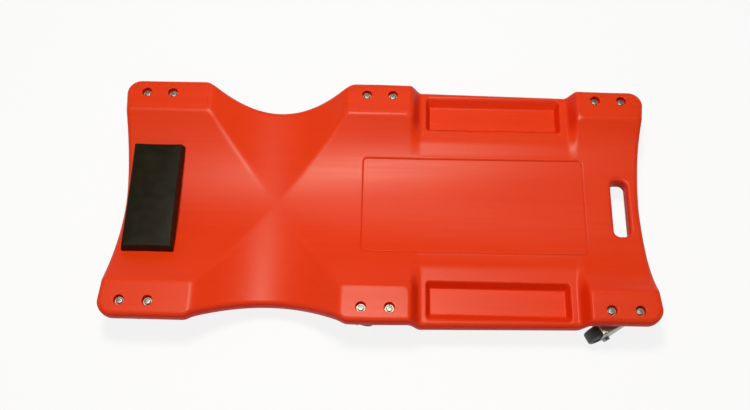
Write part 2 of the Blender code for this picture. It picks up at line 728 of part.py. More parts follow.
def headrest_ring(inset, z):
    """One level of the headrest: a tapering rounded rectangle whose four sides bow in."""
    rise = (z - headrest_base()) / HEADREST_THICKNESS
    inset += HEADREST_TAPER * rise
    half_x, half_y = HEADREST_LENGTH / 2 - inset, HEADREST_WIDTH / 2 - inset
    corner = HEADREST_CORNER * half_x / (HEADREST_LENGTH / 2)
    corners = rounded_rectangle((-half_x, -half_y), (half_x, half_y), corner)
    outline = []
    for this, (x, y) in enumerate(corners):
        outline.append((x, y))
        if this % (CORNER_STEPS + 1) == CORNER_STEPS:
            after = corners[(this + 1) % len(corners)]
            for step in range(1, HEADREST_SIDE_STEPS):
                share = step / HEADREST_SIDE_STEPS
                outline.append((x + (after[0] - x) * share, y + (after[1] - y) * share))
    ring = []
    for x, y in outline:
        along_x, along_y = min(1, abs(x) / half_x), min(1, abs(y) / half_y)
        bow_x = HEADREST_DRAW * math.cos(math.pi / 2 * along_y) * along_x
        bow_y = HEADREST_DRAW * math.cos(math.pi / 2 * along_x) * along_y
        ring.append((HEADREST_X + x - math.copysign(bow_x, x), y - math.copysign(bow_y, y), z))
    return ring


def headrest_block(inset, low, high):
    """Rings of a padded block, from its underside up its sides, round its edge and over its crown."""
    shoulder = high - HEADREST_EDGE
    rings = [headrest_ring(inset, low), headrest_ring(inset, shoulder)]
    for turn in (math.pi / 4, math.pi / 2):
        draw_in = HEADREST_EDGE * (1 - math.cos(turn))
        rings.append(headrest_ring(inset + draw_in, shoulder + HEADREST_EDGE * math.sin(turn)))
    start = inset + HEADREST_EDGE
    for share in CROWN_SHARES:
        draw_in = start + (HEADREST_LENGTH / 2 - HEADREST_TAPER - start) * share
        rings.append(headrest_ring(draw_in, high + HEADREST_CROWN * math.sin(math.pi / 2 * share)))
    return rings


def make_headrest():
    """Vinyl cover over a foam block on a board, and the screws that come up through the deck."""
    base = headrest_base()
    top = base + HEADREST_THICKNESS - HEADREST_CROWN
    inside = top - COVER_THICKNESS
    hollow = loft("hollow", headrest_block(COVER_THICKNESS, base - CUT_MARGIN, inside))
    skin = loft("cover", headrest_block(0.0, base, top))
    cover = shaped("headrest_cover", skin, [("DIFFERENCE", hollow)], SOFT_EDGE_DEG)
    place("headrest_cover", cover, "black_vinyl")

    board_top = base + BOARD_THICKNESS
    inset = COVER_THICKNESS + REST_GAP
    blank = loft("board", [headrest_ring(inset, base), headrest_ring(inset, board_top)])
    pilots = bmesh.new()
    pilot = cylinder(SCREW_RADIUS + REST_GAP, base - CUT_MARGIN, base + SCREW_BITE + REST_GAP)
    for spot in screw_places():
        add_turned(pilots, pilot, ROUND_STEPS, spot)
    board = shaped("headrest_board", blank, [("DIFFERENCE", to_mesh(pilots, "pilots"))])
    place("headrest_board", board, "hardboard")

    foam = headrest_block(inset, board_top + REST_GAP, inside - REST_GAP)
    place("headrest_foam", loft("headrest_foam", foam), "grey_foam")

    for (side_name, _), (x, y) in zip(SIDES, screw_places()):
        seat, tip = screw_seat(x, y) - REST_GAP, base + SCREW_BITE
        profile = [(0, tip), (SCREW_RADIUS, tip - SCREW_RADIUS), (SCREW_RADIUS, seat)]
        profile += [(SCREW_HEAD_RADIUS, seat), (SCREW_HEAD_RADIUS, seat - SCREW_HEAD_HEIGHT)]
        profile.append((0, seat - SCREW_HEAD_HEIGHT))
        screw = turned(f"headrest_screw_{side_name}", profile)
        place(f"headrest_screw_{side_name}", screw, "bright_zinc", None, (x, y, 0))


# Caster pieces. Each mesh is drawn about its own joint axis and shared by the six casters.


def plate_mesh():
    """A flat plate with two bolt holes, the upper race under it and a sunk hole for the kingpin."""
    half_x, half_y = PLATE_LENGTH / 2, PLATE_WIDTH / 2
    outline = rounded_rectangle((-half_x, -half_y), (half_x, half_y), PLATE_END_MARGIN)
    race = turned("race", cylinder(RACE_RADIUS, PLATE_UNDER - RACE_HEIGHT, PLATE_TOP - SHEET / 2))
    low, high = PLATE_UNDER - RACE_HEIGHT - CUT_MARGIN, PLATE_TOP + CUT_MARGIN
    holes = bmesh.new()
    for along in (-1, 1):
        add_turned(holes, cylinder(BOLT_HOLE_RADIUS, low, high), ROUND_STEPS, (along * BOLT_SPACING / 2, 0))
    wide, narrow = KINGPIN_HEAD_RADIUS + RUN_GAP, KINGPIN_RADIUS + RUN_GAP
    sink = [(0, high), (wide, high), (wide, PLATE_TOP), (narrow, PLATE_UNDER), (narrow, low), (0, low)]
    add_turned(holes, sink, ROUND_STEPS)
    steps = [("UNION", race), ("DIFFERENCE", to_mesh(holes, "plate_holes"))]
    return shaped("caster_plate", prism("plate", outline, PLATE_UNDER, PLATE_TOP), steps)


def kingpin_mesh():
    """A rivet sunk into the plate, with its head under the fork."""
    top, head = PLATE_TOP - REST_GAP, FORK_UNDER - RUN_GAP
    profile = [(0, top), (KINGPIN_HEAD_RADIUS - RUN_GAP, top), (KINGPIN_RADIUS, PLATE_UNDER)]
    profile += [(KINGPIN_RADIUS, head), (KINGPIN_HEAD_RADIUS, head)]
    profile += [(KINGPIN_HEAD_RADIUS, head - KINGPIN_HEAD_HEIGHT), (0, head - KINGPIN_HEAD_HEIGHT)]
    return turned("kingpin", profile)


def ball_ring_mesh():
    middle = (FORK_TOP + PLATE_UNDER) / 2
    tube = circle(BALL_DIAMETER / 2, RING_TUBE_STEPS, math.pi / 2)
    return turned("ball_ring", [(BALL_CIRCLE + x, middle + z) for x, z in reversed(tube)])


def fork_mesh():
    """A bent channel cut to the side view of its two legs, with the lower race and its holes."""
    low = AXLE_Z - FORK_BOSS_RADIUS - CUT_MARGIN
    half = []
    for turn in (math.pi / 2, math.pi / 4, 0.0):
        y = FORK_OUTER - FORK_BEND + FORK_BEND * math.cos(turn)
        half.append((y, FORK_TOP - FORK_BEND + FORK_BEND * math.sin(turn)))
    half += [(FORK_OUTER, low), (FORK_INNER, low), (FORK_INNER, FORK_UNDER)]
    section = half + [(-y, z) for y, z in reversed(half)]
    rear = -CASTER_TRAIL - FORK_REAR
    channel = prism("channel", section, rear - CUT_MARGIN, FORK_FRONT + CUT_MARGIN)
    channel.transform(Matrix(((0, 0, 1, 0), (1, 0, 0, 0), (0, 1, 0, 0), (0, 0, 0, 1))))
    side = [(FORK_FRONT, FORK_TOP + CUT_MARGIN), (rear, FORK_TOP + CUT_MARGIN)]
    side.append((rear, FORK_TOP - FORK_SHOULDER))
    for step in range(BOSS_STEPS + 1):
        turn = math.radians(BOSS_START_DEG + BOSS_SWEEP_DEG * step / BOSS_STEPS)
        x = FORK_BOSS_RADIUS * math.cos(turn) - CASTER_TRAIL
        side.append((x, AXLE_Z + FORK_BOSS_RADIUS * math.sin(turn)))
    side.append((FORK_FRONT, FORK_TOP - FORK_SHOULDER))
    profile = prism("side", side, -FORK_OUTER - CUT_MARGIN, FORK_OUTER + CUT_MARGIN)
    profile.transform(Matrix.Rotation(math.pi / 2, 4, "X"))
    race = turned("race", cylinder(RACE_RADIUS, FORK_UNDER + SHEET / 2, FORK_TOP + RACE_HEIGHT))
    pin = turned("pin", cylinder(KINGPIN_RADIUS + RUN_GAP, FORK_UNDER - CUT_MARGIN, PLATE_TOP))
    axle = turned("axle", cylinder(AXLE_RADIUS + REST_GAP, -2 * FORK_OUTER, 2 * FORK_OUTER))
    axle.transform(Matrix.Translation((-CASTER_TRAIL, 0, AXLE_Z)) @ Matrix.Rotation(math.pi / 2, 4, "X"))
    steps = [("INTERSECT", profile), ("UNION", race), ("DIFFERENCE", pin), ("DIFFERENCE", axle)]
    return shaped("fork", channel, steps)


def wheel_mesh():
    """Tread, dished webs and hub, turned about the wheel's own axle, with a flat facet on the floor."""
    radius, half = WHEEL_DIAMETER / 2, WHEEL_WIDTH / 2
    hub = FORK_INNER - RUN_GAP
    one_side = [(AXLE_RADIUS + RUN_GAP, hub), (HUB_RADIUS, hub), (radius - RIM_DEPTH, half - WEB_RECESS)]
    one_side += [(radius - TREAD_EDGE, half), (radius, half - TREAD_EDGE)]
    mesh = turned("wheel", one_side + [(r, -z) for r, z in reversed(one_side)], WHEEL_STEPS)
    mesh.transform(Matrix.Rotation(math.pi / 2, 4, "X") @ Matrix.Rotation(math.pi / WHEEL_STEPS, 4, "Z"))
    return mesh


def hexagon(name, radius, low, high):
    return prism(name, circle(radius, 6), low, high)


def axle_mesh():
    """A bolt along Y with its head on the left leg and its thread through the nut on the right."""
    face = FORK_OUTER + REST_GAP
    tip = -face - AXLE_NUT_HEIGHT - AXLE_END
    shank = turned("shank", cylinder(AXLE_RADIUS, tip, face + AXLE_HEAD_HEIGHT / 2))
    head = hexagon("head", AXLE_HEAD_RADIUS, face, face + AXLE_HEAD_HEIGHT)
    mesh = shaped("axle", shank, [("UNION", head)])
    mesh.transform(Matrix.Rotation(-math.pi / 2, 4, "X"))
    return mesh


def axle_nut_mesh():
    low, high = -FORK_OUTER - REST_GAP - AXLE_NUT_HEIGHT, -FORK_OUTER - REST_GAP
    bore = turned("bore", cylinder(AXLE_RADIUS + REST_GAP, low - CUT_MARGIN, high + CUT_MARGIN))
    mesh = shaped("axle_nut", hexagon("nut", AXLE_HEAD_RADIUS, low, high), [("DIFFERENCE", bore)])
    mesh.transform(Matrix.Rotation(-math.pi / 2, 4, "X"))
    return mesh


def bolt_mesh():
    """Pan head, washer, shank and nut of one caster bolt."""
    washer = PAD_Z - COUNTERBORE_DEPTH + REST_GAP
    head = washer + WASHER_THICKNESS
    top = head + BOLT_HEAD_HEIGHT
    nut = PLATE_UNDER - REST_GAP
    tip = nut - BOLT_NUT_HEIGHT - BOLT_END
    profile = [(0, top), (BOLT_HEAD_RADIUS - BOLT_HEAD_EDGE, top), (BOLT_HEAD_RADIUS, top - BOLT_HEAD_EDGE)]
    profile += [(BOLT_HEAD_RADIUS, head), (WASHER_RADIUS, head), (WASHER_RADIUS, washer)]
    profile += [(BOLT_RADIUS, washer), (BOLT_RADIUS, tip), (0, tip)]
    ring = hexagon("nut", BOLT_NUT_RADIUS, nut - BOLT_NUT_HEIGHT, nut)
    return shaped("caster_bolt", turned("bolt", profile), [("UNION", ring)])


def make_casters():
    """Six casters. The plate, balls, kingpin and bolts stay with the deck, the rest swivels."""
    plate, ring, pin, fork = plate_mesh(), ball_ring_mesh(), kingpin_mesh(), fork_mesh()
    wheel, axle, nut, bolt = wheel_mesh(), axle_mesh(), axle_nut_mesh(), bolt_mesh()
    for end, x, y, swing in CASTERS:
        for side_name, side in SIDES:
            name = f"caster_{end}_{side_name}"
            seat = empty(f"{name}_seat", (x, side * y, 0))
            place(f"{name}_plate", plate, "zinc_plate", seat)
            place(f"{name}_ball_ring", ring, "bearing_steel", seat)
            place(f"{name}_kingpin", pin, "bright_zinc", seat)
            for count, along in enumerate((-1, 1), 1):
                place(f"{name}_bolt_{count}", bolt, "bright_zinc", seat, (along * BOLT_SPACING / 2, 0, 0))
            swivel = empty(f"{name}_swivel", (0, 0, 0), -side * math.radians(swing), seat)
            place(f"{name}_fork", fork, "zinc_plate", swivel)
            head_outward = 0.0 if side > 0 else math.pi
            hub = empty(f"{name}_hub", (-CASTER_TRAIL, 0, AXLE_Z), head_outward, swivel)
            place(f"{name}_wheel", wheel, "black_wheel", hub)
            place(f"{name}_axle", axle, "bright_zinc", hub)
            place(f"{name}_axle_nut", nut, "bright_zinc", hub)


def main():
    clear_scene()
    make_deck()
    make_headrest()
    make_casters()


main()
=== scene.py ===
"""Mechanic's creeper: moulded red deck, black headrest and six swivel casters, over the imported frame."""

import json
import math

import bmesh
import bpy
import numpy as np
from mathutils import Matrix, Vector


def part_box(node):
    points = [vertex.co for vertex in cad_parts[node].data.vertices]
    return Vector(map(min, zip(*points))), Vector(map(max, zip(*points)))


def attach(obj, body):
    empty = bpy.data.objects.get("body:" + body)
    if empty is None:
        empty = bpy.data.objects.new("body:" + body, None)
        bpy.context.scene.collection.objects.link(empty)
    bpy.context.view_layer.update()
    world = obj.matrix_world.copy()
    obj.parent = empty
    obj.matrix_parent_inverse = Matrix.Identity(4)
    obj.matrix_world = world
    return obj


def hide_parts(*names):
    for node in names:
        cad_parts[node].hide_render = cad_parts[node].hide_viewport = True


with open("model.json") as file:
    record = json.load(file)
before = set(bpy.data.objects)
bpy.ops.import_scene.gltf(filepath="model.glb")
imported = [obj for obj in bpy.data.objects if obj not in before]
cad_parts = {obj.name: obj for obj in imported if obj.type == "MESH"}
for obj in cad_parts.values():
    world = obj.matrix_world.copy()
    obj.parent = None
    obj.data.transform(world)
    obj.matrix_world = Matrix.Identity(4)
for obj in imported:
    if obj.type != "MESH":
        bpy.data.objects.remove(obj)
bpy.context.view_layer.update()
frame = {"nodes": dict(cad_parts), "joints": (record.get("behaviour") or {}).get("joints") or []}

# Deck in plan, in metres, as in the part
HALF_LENGTH = 0.508
HEAD_HALF_WIDTH, MID_HALF_WIDTH, FOOT_HALF_WIDTH = 0.242, 0.244, 0.236
HEAD_CASTER_X, MID_CASTER_X, FOOT_CASTER_X = -0.442, -0.008, 0.440
CORNER_RADIUS = 0.028
HEAD_END_SAG, FOOT_END_SAG = 0.0125, 0.017
END_SAG_REACH = 0.108
END_SAG_POWER = 1.5
WAIST_DEPTH = 0.042
WAIST_LEAD = 0.012
WAIST_CORNER_EASE = 0.006

# Deck section
PAD_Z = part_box("deck")[1].z
DECK_THICKNESS = 0.029
SEAT_Z = PAD_Z - DECK_THICKNESS
TOP_EDGE_RADIUS = 0.009
BOTTOM_EDGE_RADIUS = 0.005
PARTING_RIDGE = 0.035
PARTING_HALF_HEIGHT = 0.0007

# Pads, hollows, ledges, trays and panel
HEAD_PAD_EDGE, MID_PAD_HEAD_EDGE = -0.337, -0.074
MID_PAD_FOOT_EDGE, FOOT_PAD_EDGE = 0.051, 0.3815
WAIST_X = (HEAD_PAD_EDGE + MID_PAD_HEAD_EDGE) / 2
WAIST_LENGTH = MID_PAD_HEAD_EDGE - HEAD_PAD_EDGE
PAD_INNER = 0.175
PAD_EDGE_EASE = 0.004
PAD_CORNER = 0.018
PAD_CORNER_SLOPE = 0.62
PAD_CORNER_DEPTH = 0.009
PAD_CORNER_BLEND = 0.0016
TROUGH_HEAD_DEPTH, TROUGH_FOOT_DEPTH = 0.053, 0.0334
TROUGH_HEAD_POWER, TROUGH_FOOT_POWER = 1.95, 4.0
TROUGH_CHANGE_POWER = 1.6
WAIST_EDGE_DROP = 0.0497
RIDGE_EASE, PAD_RIDGE_EASE = 0.35, 0.12
SCOOP_POINT = 0.001
LEDGE_DROP = 0.0295
LEDGE_MID_RAMP, LEDGE_FOOT_RAMP = 0.0245, 0.0215
LEDGE_INNER = 0.1325
LEDGE_RUN = 0.0325
TRAY_START, TRAY_END = 0.084, 0.349
TRAY_INNER, TRAY_OUTER = 0.156, 0.2295
TRAY_DEPTH = 0.0165
TRAY_END_DRAFT, TRAY_INNER_DRAFT, TRAY_OUTER_DRAFT = 0.008, 0.0095, 0.014
TRAY_CORNER_SHARE = 0.8
TRAY_RIM_EASE, TRAY_FLOOR_EASE = 0.16, 0.10
PANEL_START, PANEL_END = -0.038, 0.387
PANEL_HALF_WIDTH = 0.097
PANEL_DEPTH = 0.0014
PANEL_CORNER = 0.008
PANEL_STEP = 0.0012
PANEL_GROOVE, PANEL_GROOVE_HALF = 0.0007, 0.0012
SLOT_X = 0.4550
SLOT_WIDTH = 0.030
SLOT_LENGTH = 0.114
SLOT_CORNER = 0.012
SLOT_RIM, SLOT_UNDER_SHARE = 0.0075, 0.35
BLOW_HOLE_X = (PANEL_START + PANEL_END) / 2
BLOW_HOLE_RADIUS = 0.005
BLOW_HOLE_RIM = 0.001
HOLE_DEPTH = 0.006

# Headrest
HEADREST_X = -0.435
HEADREST_LENGTH = 0.100
HEADREST_WIDTH = 0.221
HEADREST_TAPER = 0.0045
HEADREST_DRAW = 0.0010
HEADREST_CORNER, HEADREST_LEAST_CORNER = 0.0036, 0.0012
HEADREST_CORNER_LOSS = 0.4
HEADREST_TOP_SHARE = 0.93
HEADREST_EDGE = 0.0018
HEADREST_CAP = 0.0011
SCREW_SPREAD = 0.190
SCREW_WELL_RADIUS, SCREW_WELL_RIM = 0.0049, 0.0006
SCREW_RADIUS, SCREW_POINT = 0.002, 0.003

# Screw head: radius, and height over its lowest point
SCREW_HEAD = ((0.0043, 0.0026), (0.0045, 0.0023), (0.0043, 0.0011), (0.0030, 0.0002))

# Driver recess of screw and bolt: length, width and depth
SCREW_RECESS = (0.0042, 0.0010, 0.0016)
BOLT_RECESS = (0.0062, 0.0015, 0.0022)

# Caster pieces
WHEEL_RADIUS = 0.03175
WHEEL_HALF = 0.011
FORK_INNER, FORK_OUTER = 0.0125, 0.0150
SHEET = 0.0025
CASTER_TRAIL = 0.032
AXLE_Z = next(joint["pos_m"][2] for joint in frame["joints"] if joint["name"] == "foot_left_roll")
PLATE_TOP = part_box("caster_foot_left_plate")[1].z
PLATE_UNDER = PLATE_TOP - SHEET
KINGPIN_UNDER_FORK = 0.0033
FORK_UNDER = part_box("caster_foot_left_kingpin")[0].z + KINGPIN_UNDER_FORK
FORK_TOP = FORK_UNDER + SHEET
FORK_BEND, FORK_INNER_BEND = 0.003, 0.0006
FORK_EDGE = 0.00045
FORK_BOSS_RADIUS = 0.0105
FORK_FRONT, FORK_REAR = 0.016, -0.046
FORK_SHOULDER = 0.006
BALL_RADIUS = 0.0022
BALL_CIRCLE = 0.0125
BALL_COUNT = 16
RACE_RADIUS = 0.017
RACE_HEIGHT = 0.0015
RACE_LIP = 0.0008
KINGPIN_RADIUS = 0.005
KINGPIN_HEAD_RADIUS = 0.0085
KINGPIN_HEAD_HEIGHT = 0.003
KINGPIN_HEAD_EDGE, KINGPIN_HEAD_SIDE = 0.0003, 0.0008
AXLE_RADIUS = 0.004
AXLE_HEAD_RADIUS = 0.0072
AXLE_HEAD_HEIGHT = 0.0045
AXLE_NUT_HEIGHT = 0.0055
PLATE_HALF_LENGTH, PLATE_HALF_WIDTH = 0.036, 0.017
PLATE_CORNER = 0.0105
PLATE_EDGE = 0.0006
BOLT_SPACING = 0.051
BOLT_RADIUS = 0.003
BOLT_HEAD_RADIUS = 0.006
BOLT_HEAD_HEIGHT = 0.0036
WASHER_RADIUS = 0.008
WASHER_THICKNESS = 0.0016
WASHER_EDGE = 0.00025
PAN_ROUND, PAN_ROUND_DROP = 0.0019, 0.0021
PAN_FLAT_SHARE, PAN_SAG = 0.45, 0.00012
BOLT_NUT_RADIUS = 0.0058
BOLT_NUT_HEIGHT = 0.005
THREAD_PITCH, THREAD_DEPTH, THREAD_POINT = 0.0010, 0.00045, 0.0006
THREAD_PAST_NUT = 0.0015
SHANK_IN_HEAD = 0.001
NUT_BORE_GAP = 0.0001
COUNTERBORE_RADIUS = 0.00925
COUNTERBORE_DEPTH = 0.0115
COUNTERBORE_RIM = 0.0013
WHEEL_BORE_GAP = 0.0003
REST_GAP = 0.0003
CUT_MARGIN = 0.002

# Wheel section: radius and depth under the hub's face, radius and depth under the wheel's side,
# then distance inside the tread and depth under the side
HUB_SECTION = ((0.0056, 0.0), (0.0094, 0.0), (0.0100, 0.0006), (0.0103, 0.0020))
WEB_SECTION = ((0.0112, 0.0026), (0.0130, 0.0030))
RIM_SECTION = ((0.0085, 0.0030), (0.0072, 0.0024), (0.0066, 0.0008), (0.0058, 0.0))
TREAD_ROUND = 0.0040
MOULD_LINE_HALF, MOULD_LINE_RISE = 0.0006, 0.00012

# Deck's grid: widest steps, and how far inside an edge a fine band has its middle
COARSE_ALONG, COARSE_ACROSS = 0.0075, 0.0060
TRAY_BAND_IN, TRAY_OUTER_BAND_IN = 0.005, 0.006
PANEL_EDGE_IN, PANEL_SIDE_IN = 0.0006, 0.004
MID_RAMP_OUT, FOOT_RAMP_OUT = 0.012, 0.011
LEDGE_MIDDLE = 0.135

# Fine bands of the deck's grid: half width of the band and step of the lines in it
PANEL_EDGE_BAND = (0.0014, 0.0003)
PANEL_SIDE_BAND = (0.005, 0.0010)
TRAY_WALL_BAND = (0.009, 0.0013)
TRAY_OUTER_BAND = (0.012, 0.0014)
RAMP_BAND = (0.014, 0.0020)
PAD_END_BAND = (0.010, 0.0025)
PAD_SIDE_BAND = (0.007, 0.0016)
LEDGE_BAND = (0.030, 0.0036)
WAIST_BAND = (0.110, 0.0042)
MIDDLE_BAND = (0.006, 0.0030)

ENDS = ("head", "mid", "foot")
SIDES = ("left", "right")
UPSIDE_DOWN = Matrix.Rotation(math.pi, 4, "X")
ALONG_AXLE = Matrix.Rotation(-math.pi / 2, 4, "X")

# View of the photograph
CAMERA_AT = (0.00323, -0.71350, PAD_Z + 1.5914)
CAMERA_TURN = (0.411305, 0.0, 0.022767)
CAMERA_LENS = 44.64
CAMERA_SENSOR = 36.0

# Stage and light
FLOOR_SIZE = 40.0
FLOOR_Z = -0.0005
WALL_RADIUS, WALL_HEIGHT, WALL_MIDDLE = 18.0, 9.0, 4.4
FLOOR_GREY = 0.90
WHITE_SHARE = 0.86
SKY_STRENGTH = 0.15
LIGHT_AIM = (0.0, 0.0, 0.1)
OVERHEAD = {"at": (-0.15, 0.17, 2.3), "size": (0.40, 0.40), "power": 40.5, "colour": (1.0, 0.97, 0.80)}
FRONT = {"at": (0.0, -1.6, 2.2), "size": (1.2, 0.8), "power": 4.0}

# Colours, as linear red, green and blue
RED_LIGHT, RED_DARK = (0.800, 0.041, 0.0030), (0.765, 0.036, 0.0024)
# The groove red and the wall red are painted shade.
RED_STREAK, RED_GROOVE_SHADE, RED_WALL_SHADE = (0.830, 0.054, 0.0070), (0.40, 0.012, 0.0010), (0.730, 0.017, 0.0016)
VINYL_DARK, VINYL_LIGHT = (0.0102, 0.0080, 0.0032), (0.0140, 0.0110, 0.0048)
WHEEL_BLACK, WHEEL_SCUFF = (0.020, 0.020, 0.021), (0.095, 0.092, 0.088)
BOARD_LIGHT, BOARD_DARK = (0.25, 0.155, 0.085), (0.17, 0.10, 0.052)


# Mesh tools. A shape is a pair of lists: points and faces.


def lathe(profile, steps):
    """A profile of (radius, z) points spun about Z. A radius of nothing gives a single point."""
    points, rings = [], []
    for radius, z in profile:
        if radius < 1e-7:
            rings.append([len(points)])
            points.append((0.0, 0.0, z))
            continue
        rings.append(list(range(len(points), len(points) + steps)))
        for step in range(steps):
            angle = 2 * math.pi * step / steps
            points.append((radius * math.cos(angle), radius * math.sin(angle), z))
    faces = []
    for upper, lower in zip(rings, rings[1:]):
        for step in range(steps):
            after = (step + 1) % steps
            corners = [upper[step % len(upper)], lower[step % len(lower)]]
            corners += [lower[after % len(lower)], upper[after % len(upper)]]
            faces.append(list(dict.fromkeys(corners)))
    return points, faces


def ring_of(profile, steps):
    """A closed profile spun about Z."""
    return lathe(list(profile) + [profile[0]], steps)


def loft(rings):
    """Rings of equally many points bridged in order and closed at both ends."""
    count = len(rings[0])
    points = [point for ring in rings for point in ring]
    faces = []
    for row in range(len(rings) - 1):
        for this in range(count):
            after = (this + 1) % count
            low, high = row * count, (row + 1) * count
            faces.append([low + this, low + after, high + after, high + this])
    faces.append(list(range(count))[::-1])
    faces.append(list(range(len(points) - count, len(points))))
    return points, faces


def prism(outline, low, high):
    return loft([[(x, y, low) for x, y in outline], [(x, y, high) for x, y in outline]])


def moved(shape, matrix):
    return [tuple(matrix @ Vector(point)) for point in shape[0]], shape[1]


def joined(*shapes):
    points, faces = [], []
    for shape in shapes:
        start = len(points)
        points += list(shape[0])
        faces += [[start + corner for corner in face] for face in shape[1]]
    return points, faces


def arc(centre, radius, start_deg, end_deg, steps):
    """Points of (x, y) along an arc, both ends included."""
    angles = [math.radians(start_deg + (end_deg - start_deg) * step / steps) for step in range(steps + 1)]
    return [(centre[0] + radius * math.cos(angle), centre[1] + radius * math.sin(angle)) for angle in angles]


def rounded_rectangle(half_x, half_y, corner, steps=8, centre=(0.0, 0.0)):
    """A counter-clockwise outline with rounded corners."""
    outline = []
    for sign_x, sign_y, start in ((1, 1, 0), (-1, 1, 90), (-1, -1, 180), (1, -1, 270)):
        middle = (centre[0] + sign_x * (half_x - corner), centre[1] + sign_y * (half_y - corner))
        outline += arc(middle, corner, start, start + 90, steps)
    return outline


def hexagon(radius):
    return arc((0, 0), radius, 0, 300, 5)


def to_mesh(name, shape, smooth_deg=35.0):
    mesh = bpy.data.meshes.new(name)
    mesh.from_pydata([tuple(point) for point in shape[0]], [], [list(face) for face in shape[1]])
    bm = bmesh.new()
    bm.from_mesh(mesh)
    bmesh.ops.remove_doubles(bm, verts=bm.verts, dist=1e-7)
    bmesh.ops.recalc_face_normals(bm, faces=bm.faces)
    bm.to_mesh(mesh)
    bm.free()
    mesh.shade_smooth()
    mesh.set_sharp_from_angle(angle=math.radians(smooth_deg))
    return mesh


def shape_of(mesh):
    """The points and faces of a mesh, which is then dropped."""
    points = [tuple(vertex.co) for vertex in mesh.vertices]
    faces = [list(polygon.vertices) for polygon in mesh.polygons]
    bpy.data.meshes.remove(mesh)
    return points, faces


def linked(name, mesh):
    made = bpy.data.objects.new(name, mesh)
    bpy.context.scene.collection.objects.link(made)
    return made


def finished(name, shape, cuts=(), bevel=0.0, smooth_deg=35.0, bevel_steps=2):
    """The mesh of a shape after (operation, shape) Boolean steps and a bevel of its sharp edges."""
    body = linked(name, to_mesh(name, shape, smooth_deg))
    tools = []
    for operation, tool_shape in cuts:
        tool = linked(f"{name}_tool", to_mesh(f"{name}_tool", tool_shape))
        modifier = body.modifiers.new(operation, "BOOLEAN")
        modifier.operation, modifier.solver, modifier.object = operation, "EXACT", tool
        tools.append(tool)
    if bevel:
        modifier = body.modifiers.new("edges", "BEVEL")
        modifier.width, modifier.segments = bevel, bevel_steps
        modifier.limit_method, modifier.angle_limit = "ANGLE", math.radians(35)
    graph = bpy.context.evaluated_depsgraph_get()
    result = bpy.data.meshes.new_from_object(body.evaluated_get(graph))
    for used in [body, *tools]:
        bpy.data.objects.remove(used, do_unlink=True)
    result.name = name
    result.shade_smooth()
    result.set_sharp_from_angle(angle=math.radians(smooth_deg))
    return result


def dress(node, mesh, slot, body, matrix=Matrix.Identity(4), also=()):
    """A piece that stands for a CAD node, rides on its body and takes its finish from its slot."""
    piece = linked(f"{node}_form", mesh)
    if not mesh.materials:
        mesh.materials.append(LOOKS[slot])
    piece.matrix_world = matrix
    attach(piece, body)
    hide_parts(node, *also)
    return piece


# Materials


class Nodes:
    """A new material with its Principled shader and short ways to add nodes to it."""

    def __init__(self, name):
        self.material = bpy.data.materials.new(name)
        self.material.use_nodes = True
        self.tree = self.material.node_tree
        self.shader = self.tree.nodes["Principled BSDF"]
        self.place = self.add("ShaderNodeTexCoord").outputs["Object"]

    def add(self, kind, **settings):
        node = self.tree.nodes.new(kind)
        for setting, value in settings.items():
            setattr(node, setting, value)
        return node

    def link(self, source, target):
        self.tree.links.new(source, target)

    def stretched(self, scale):
        node = self.add("ShaderNodeMapping")
        node.inputs["Scale"].default_value = scale
        self.link(self.place, node.inputs["Vector"])
        return node.outputs["Vector"]

    def noise(self, scale, detail=2.0, roughness=0.5, place=None):
        node = self.add("ShaderNodeTexNoise")
        node.inputs["Scale"].default_value = scale
        node.inputs["Detail"].default_value = detail
        node.inputs["Roughness"].default_value = roughness
        self.link(place or self.place, node.inputs["Vector"])
        return node.outputs["Fac"]

    def cells(self, scale):
        node = self.add("ShaderNodeTexVoronoi", feature="DISTANCE_TO_EDGE")
        node.inputs["Scale"].default_value = scale
        self.link(self.place, node.inputs["Vector"])
        return node.outputs["Distance"]

    def span(self, value, low, high, to_low, to_high):
        node = self.add("ShaderNodeMapRange")
        limits = {"From Min": low, "From Max": high, "To Min": to_low, "To Max": to_high}
        for socket, number in limits.items():
            node.inputs[socket].default_value = number
        self.link(value, node.inputs["Value"])
        return node.outputs["Result"]

    def mix(self, share, first, second):
        """A colour between two, each a colour or the output of a node."""
        node = self.add("ShaderNodeMix", data_type="RGBA")
        self.link(share, node.inputs["Factor"])
        for socket, value in ((node.inputs[6], first), (node.inputs[7], second)):
            if isinstance(value, tuple):
                socket.default_value = (*value, 1.0)
            else:
                self.link(value, socket)
        return node.outputs[2]

    def bump(self, height, strength, distance, before=None):
        node = self.add("ShaderNodeBump")
        node.inputs["Strength"].default_value = strength
        node.inputs["Distance"].default_value = distance
        self.link(height, node.inputs["Height"])
        if before:
            self.link(before, node.inputs["Normal"])
        return node.outputs["Normal"]

    def upward(self):
        """How far a surface faces up on its own piece: one on a level top, nothing on an upright wall."""
        parts = self.add("ShaderNodeSeparateXYZ")
        self.link(self.add("ShaderNodeTexCoord").outputs["Normal"], parts.inputs[0])
        return parts.outputs["Z"]

    def number(self, operation, *values):
        """An operation on one or two numbers, each a number or the output of a node."""
        node = self.add("ShaderNodeMath", operation=operation)
        for socket, value in zip(node.inputs, values):
            self.fill(socket, value)
        return node.outputs[0]

    def vector(self, operation, *values, output="Vector"):
        """An operation on one or two vectors, each a tuple or the output of a node."""
        node = self.add("ShaderNodeVectorMath", operation=operation)
        for socket, value in zip(node.inputs, values):
            self.fill(socket, value)
        return node.outputs[output]

    def fill(self, socket, value):
        if isinstance(value, (int, float, tuple)):
            socket.default_value = value
        else:
            self.link(value, socket)

    def set(self, **values):
        """Constants on the shader's own sockets."""
        for socket, value in values.items():
            self.shader.inputs[socket.replace("_", " ")].default_value = value

    def wire(self, colour=None, roughness=None, normal=None):
        for output, socket in ((colour, "Base Color"), (roughness, "Roughness"), (normal, "Normal")):
            if output:
                self.link(output, self.shader.inputs[socket])
        return self.material


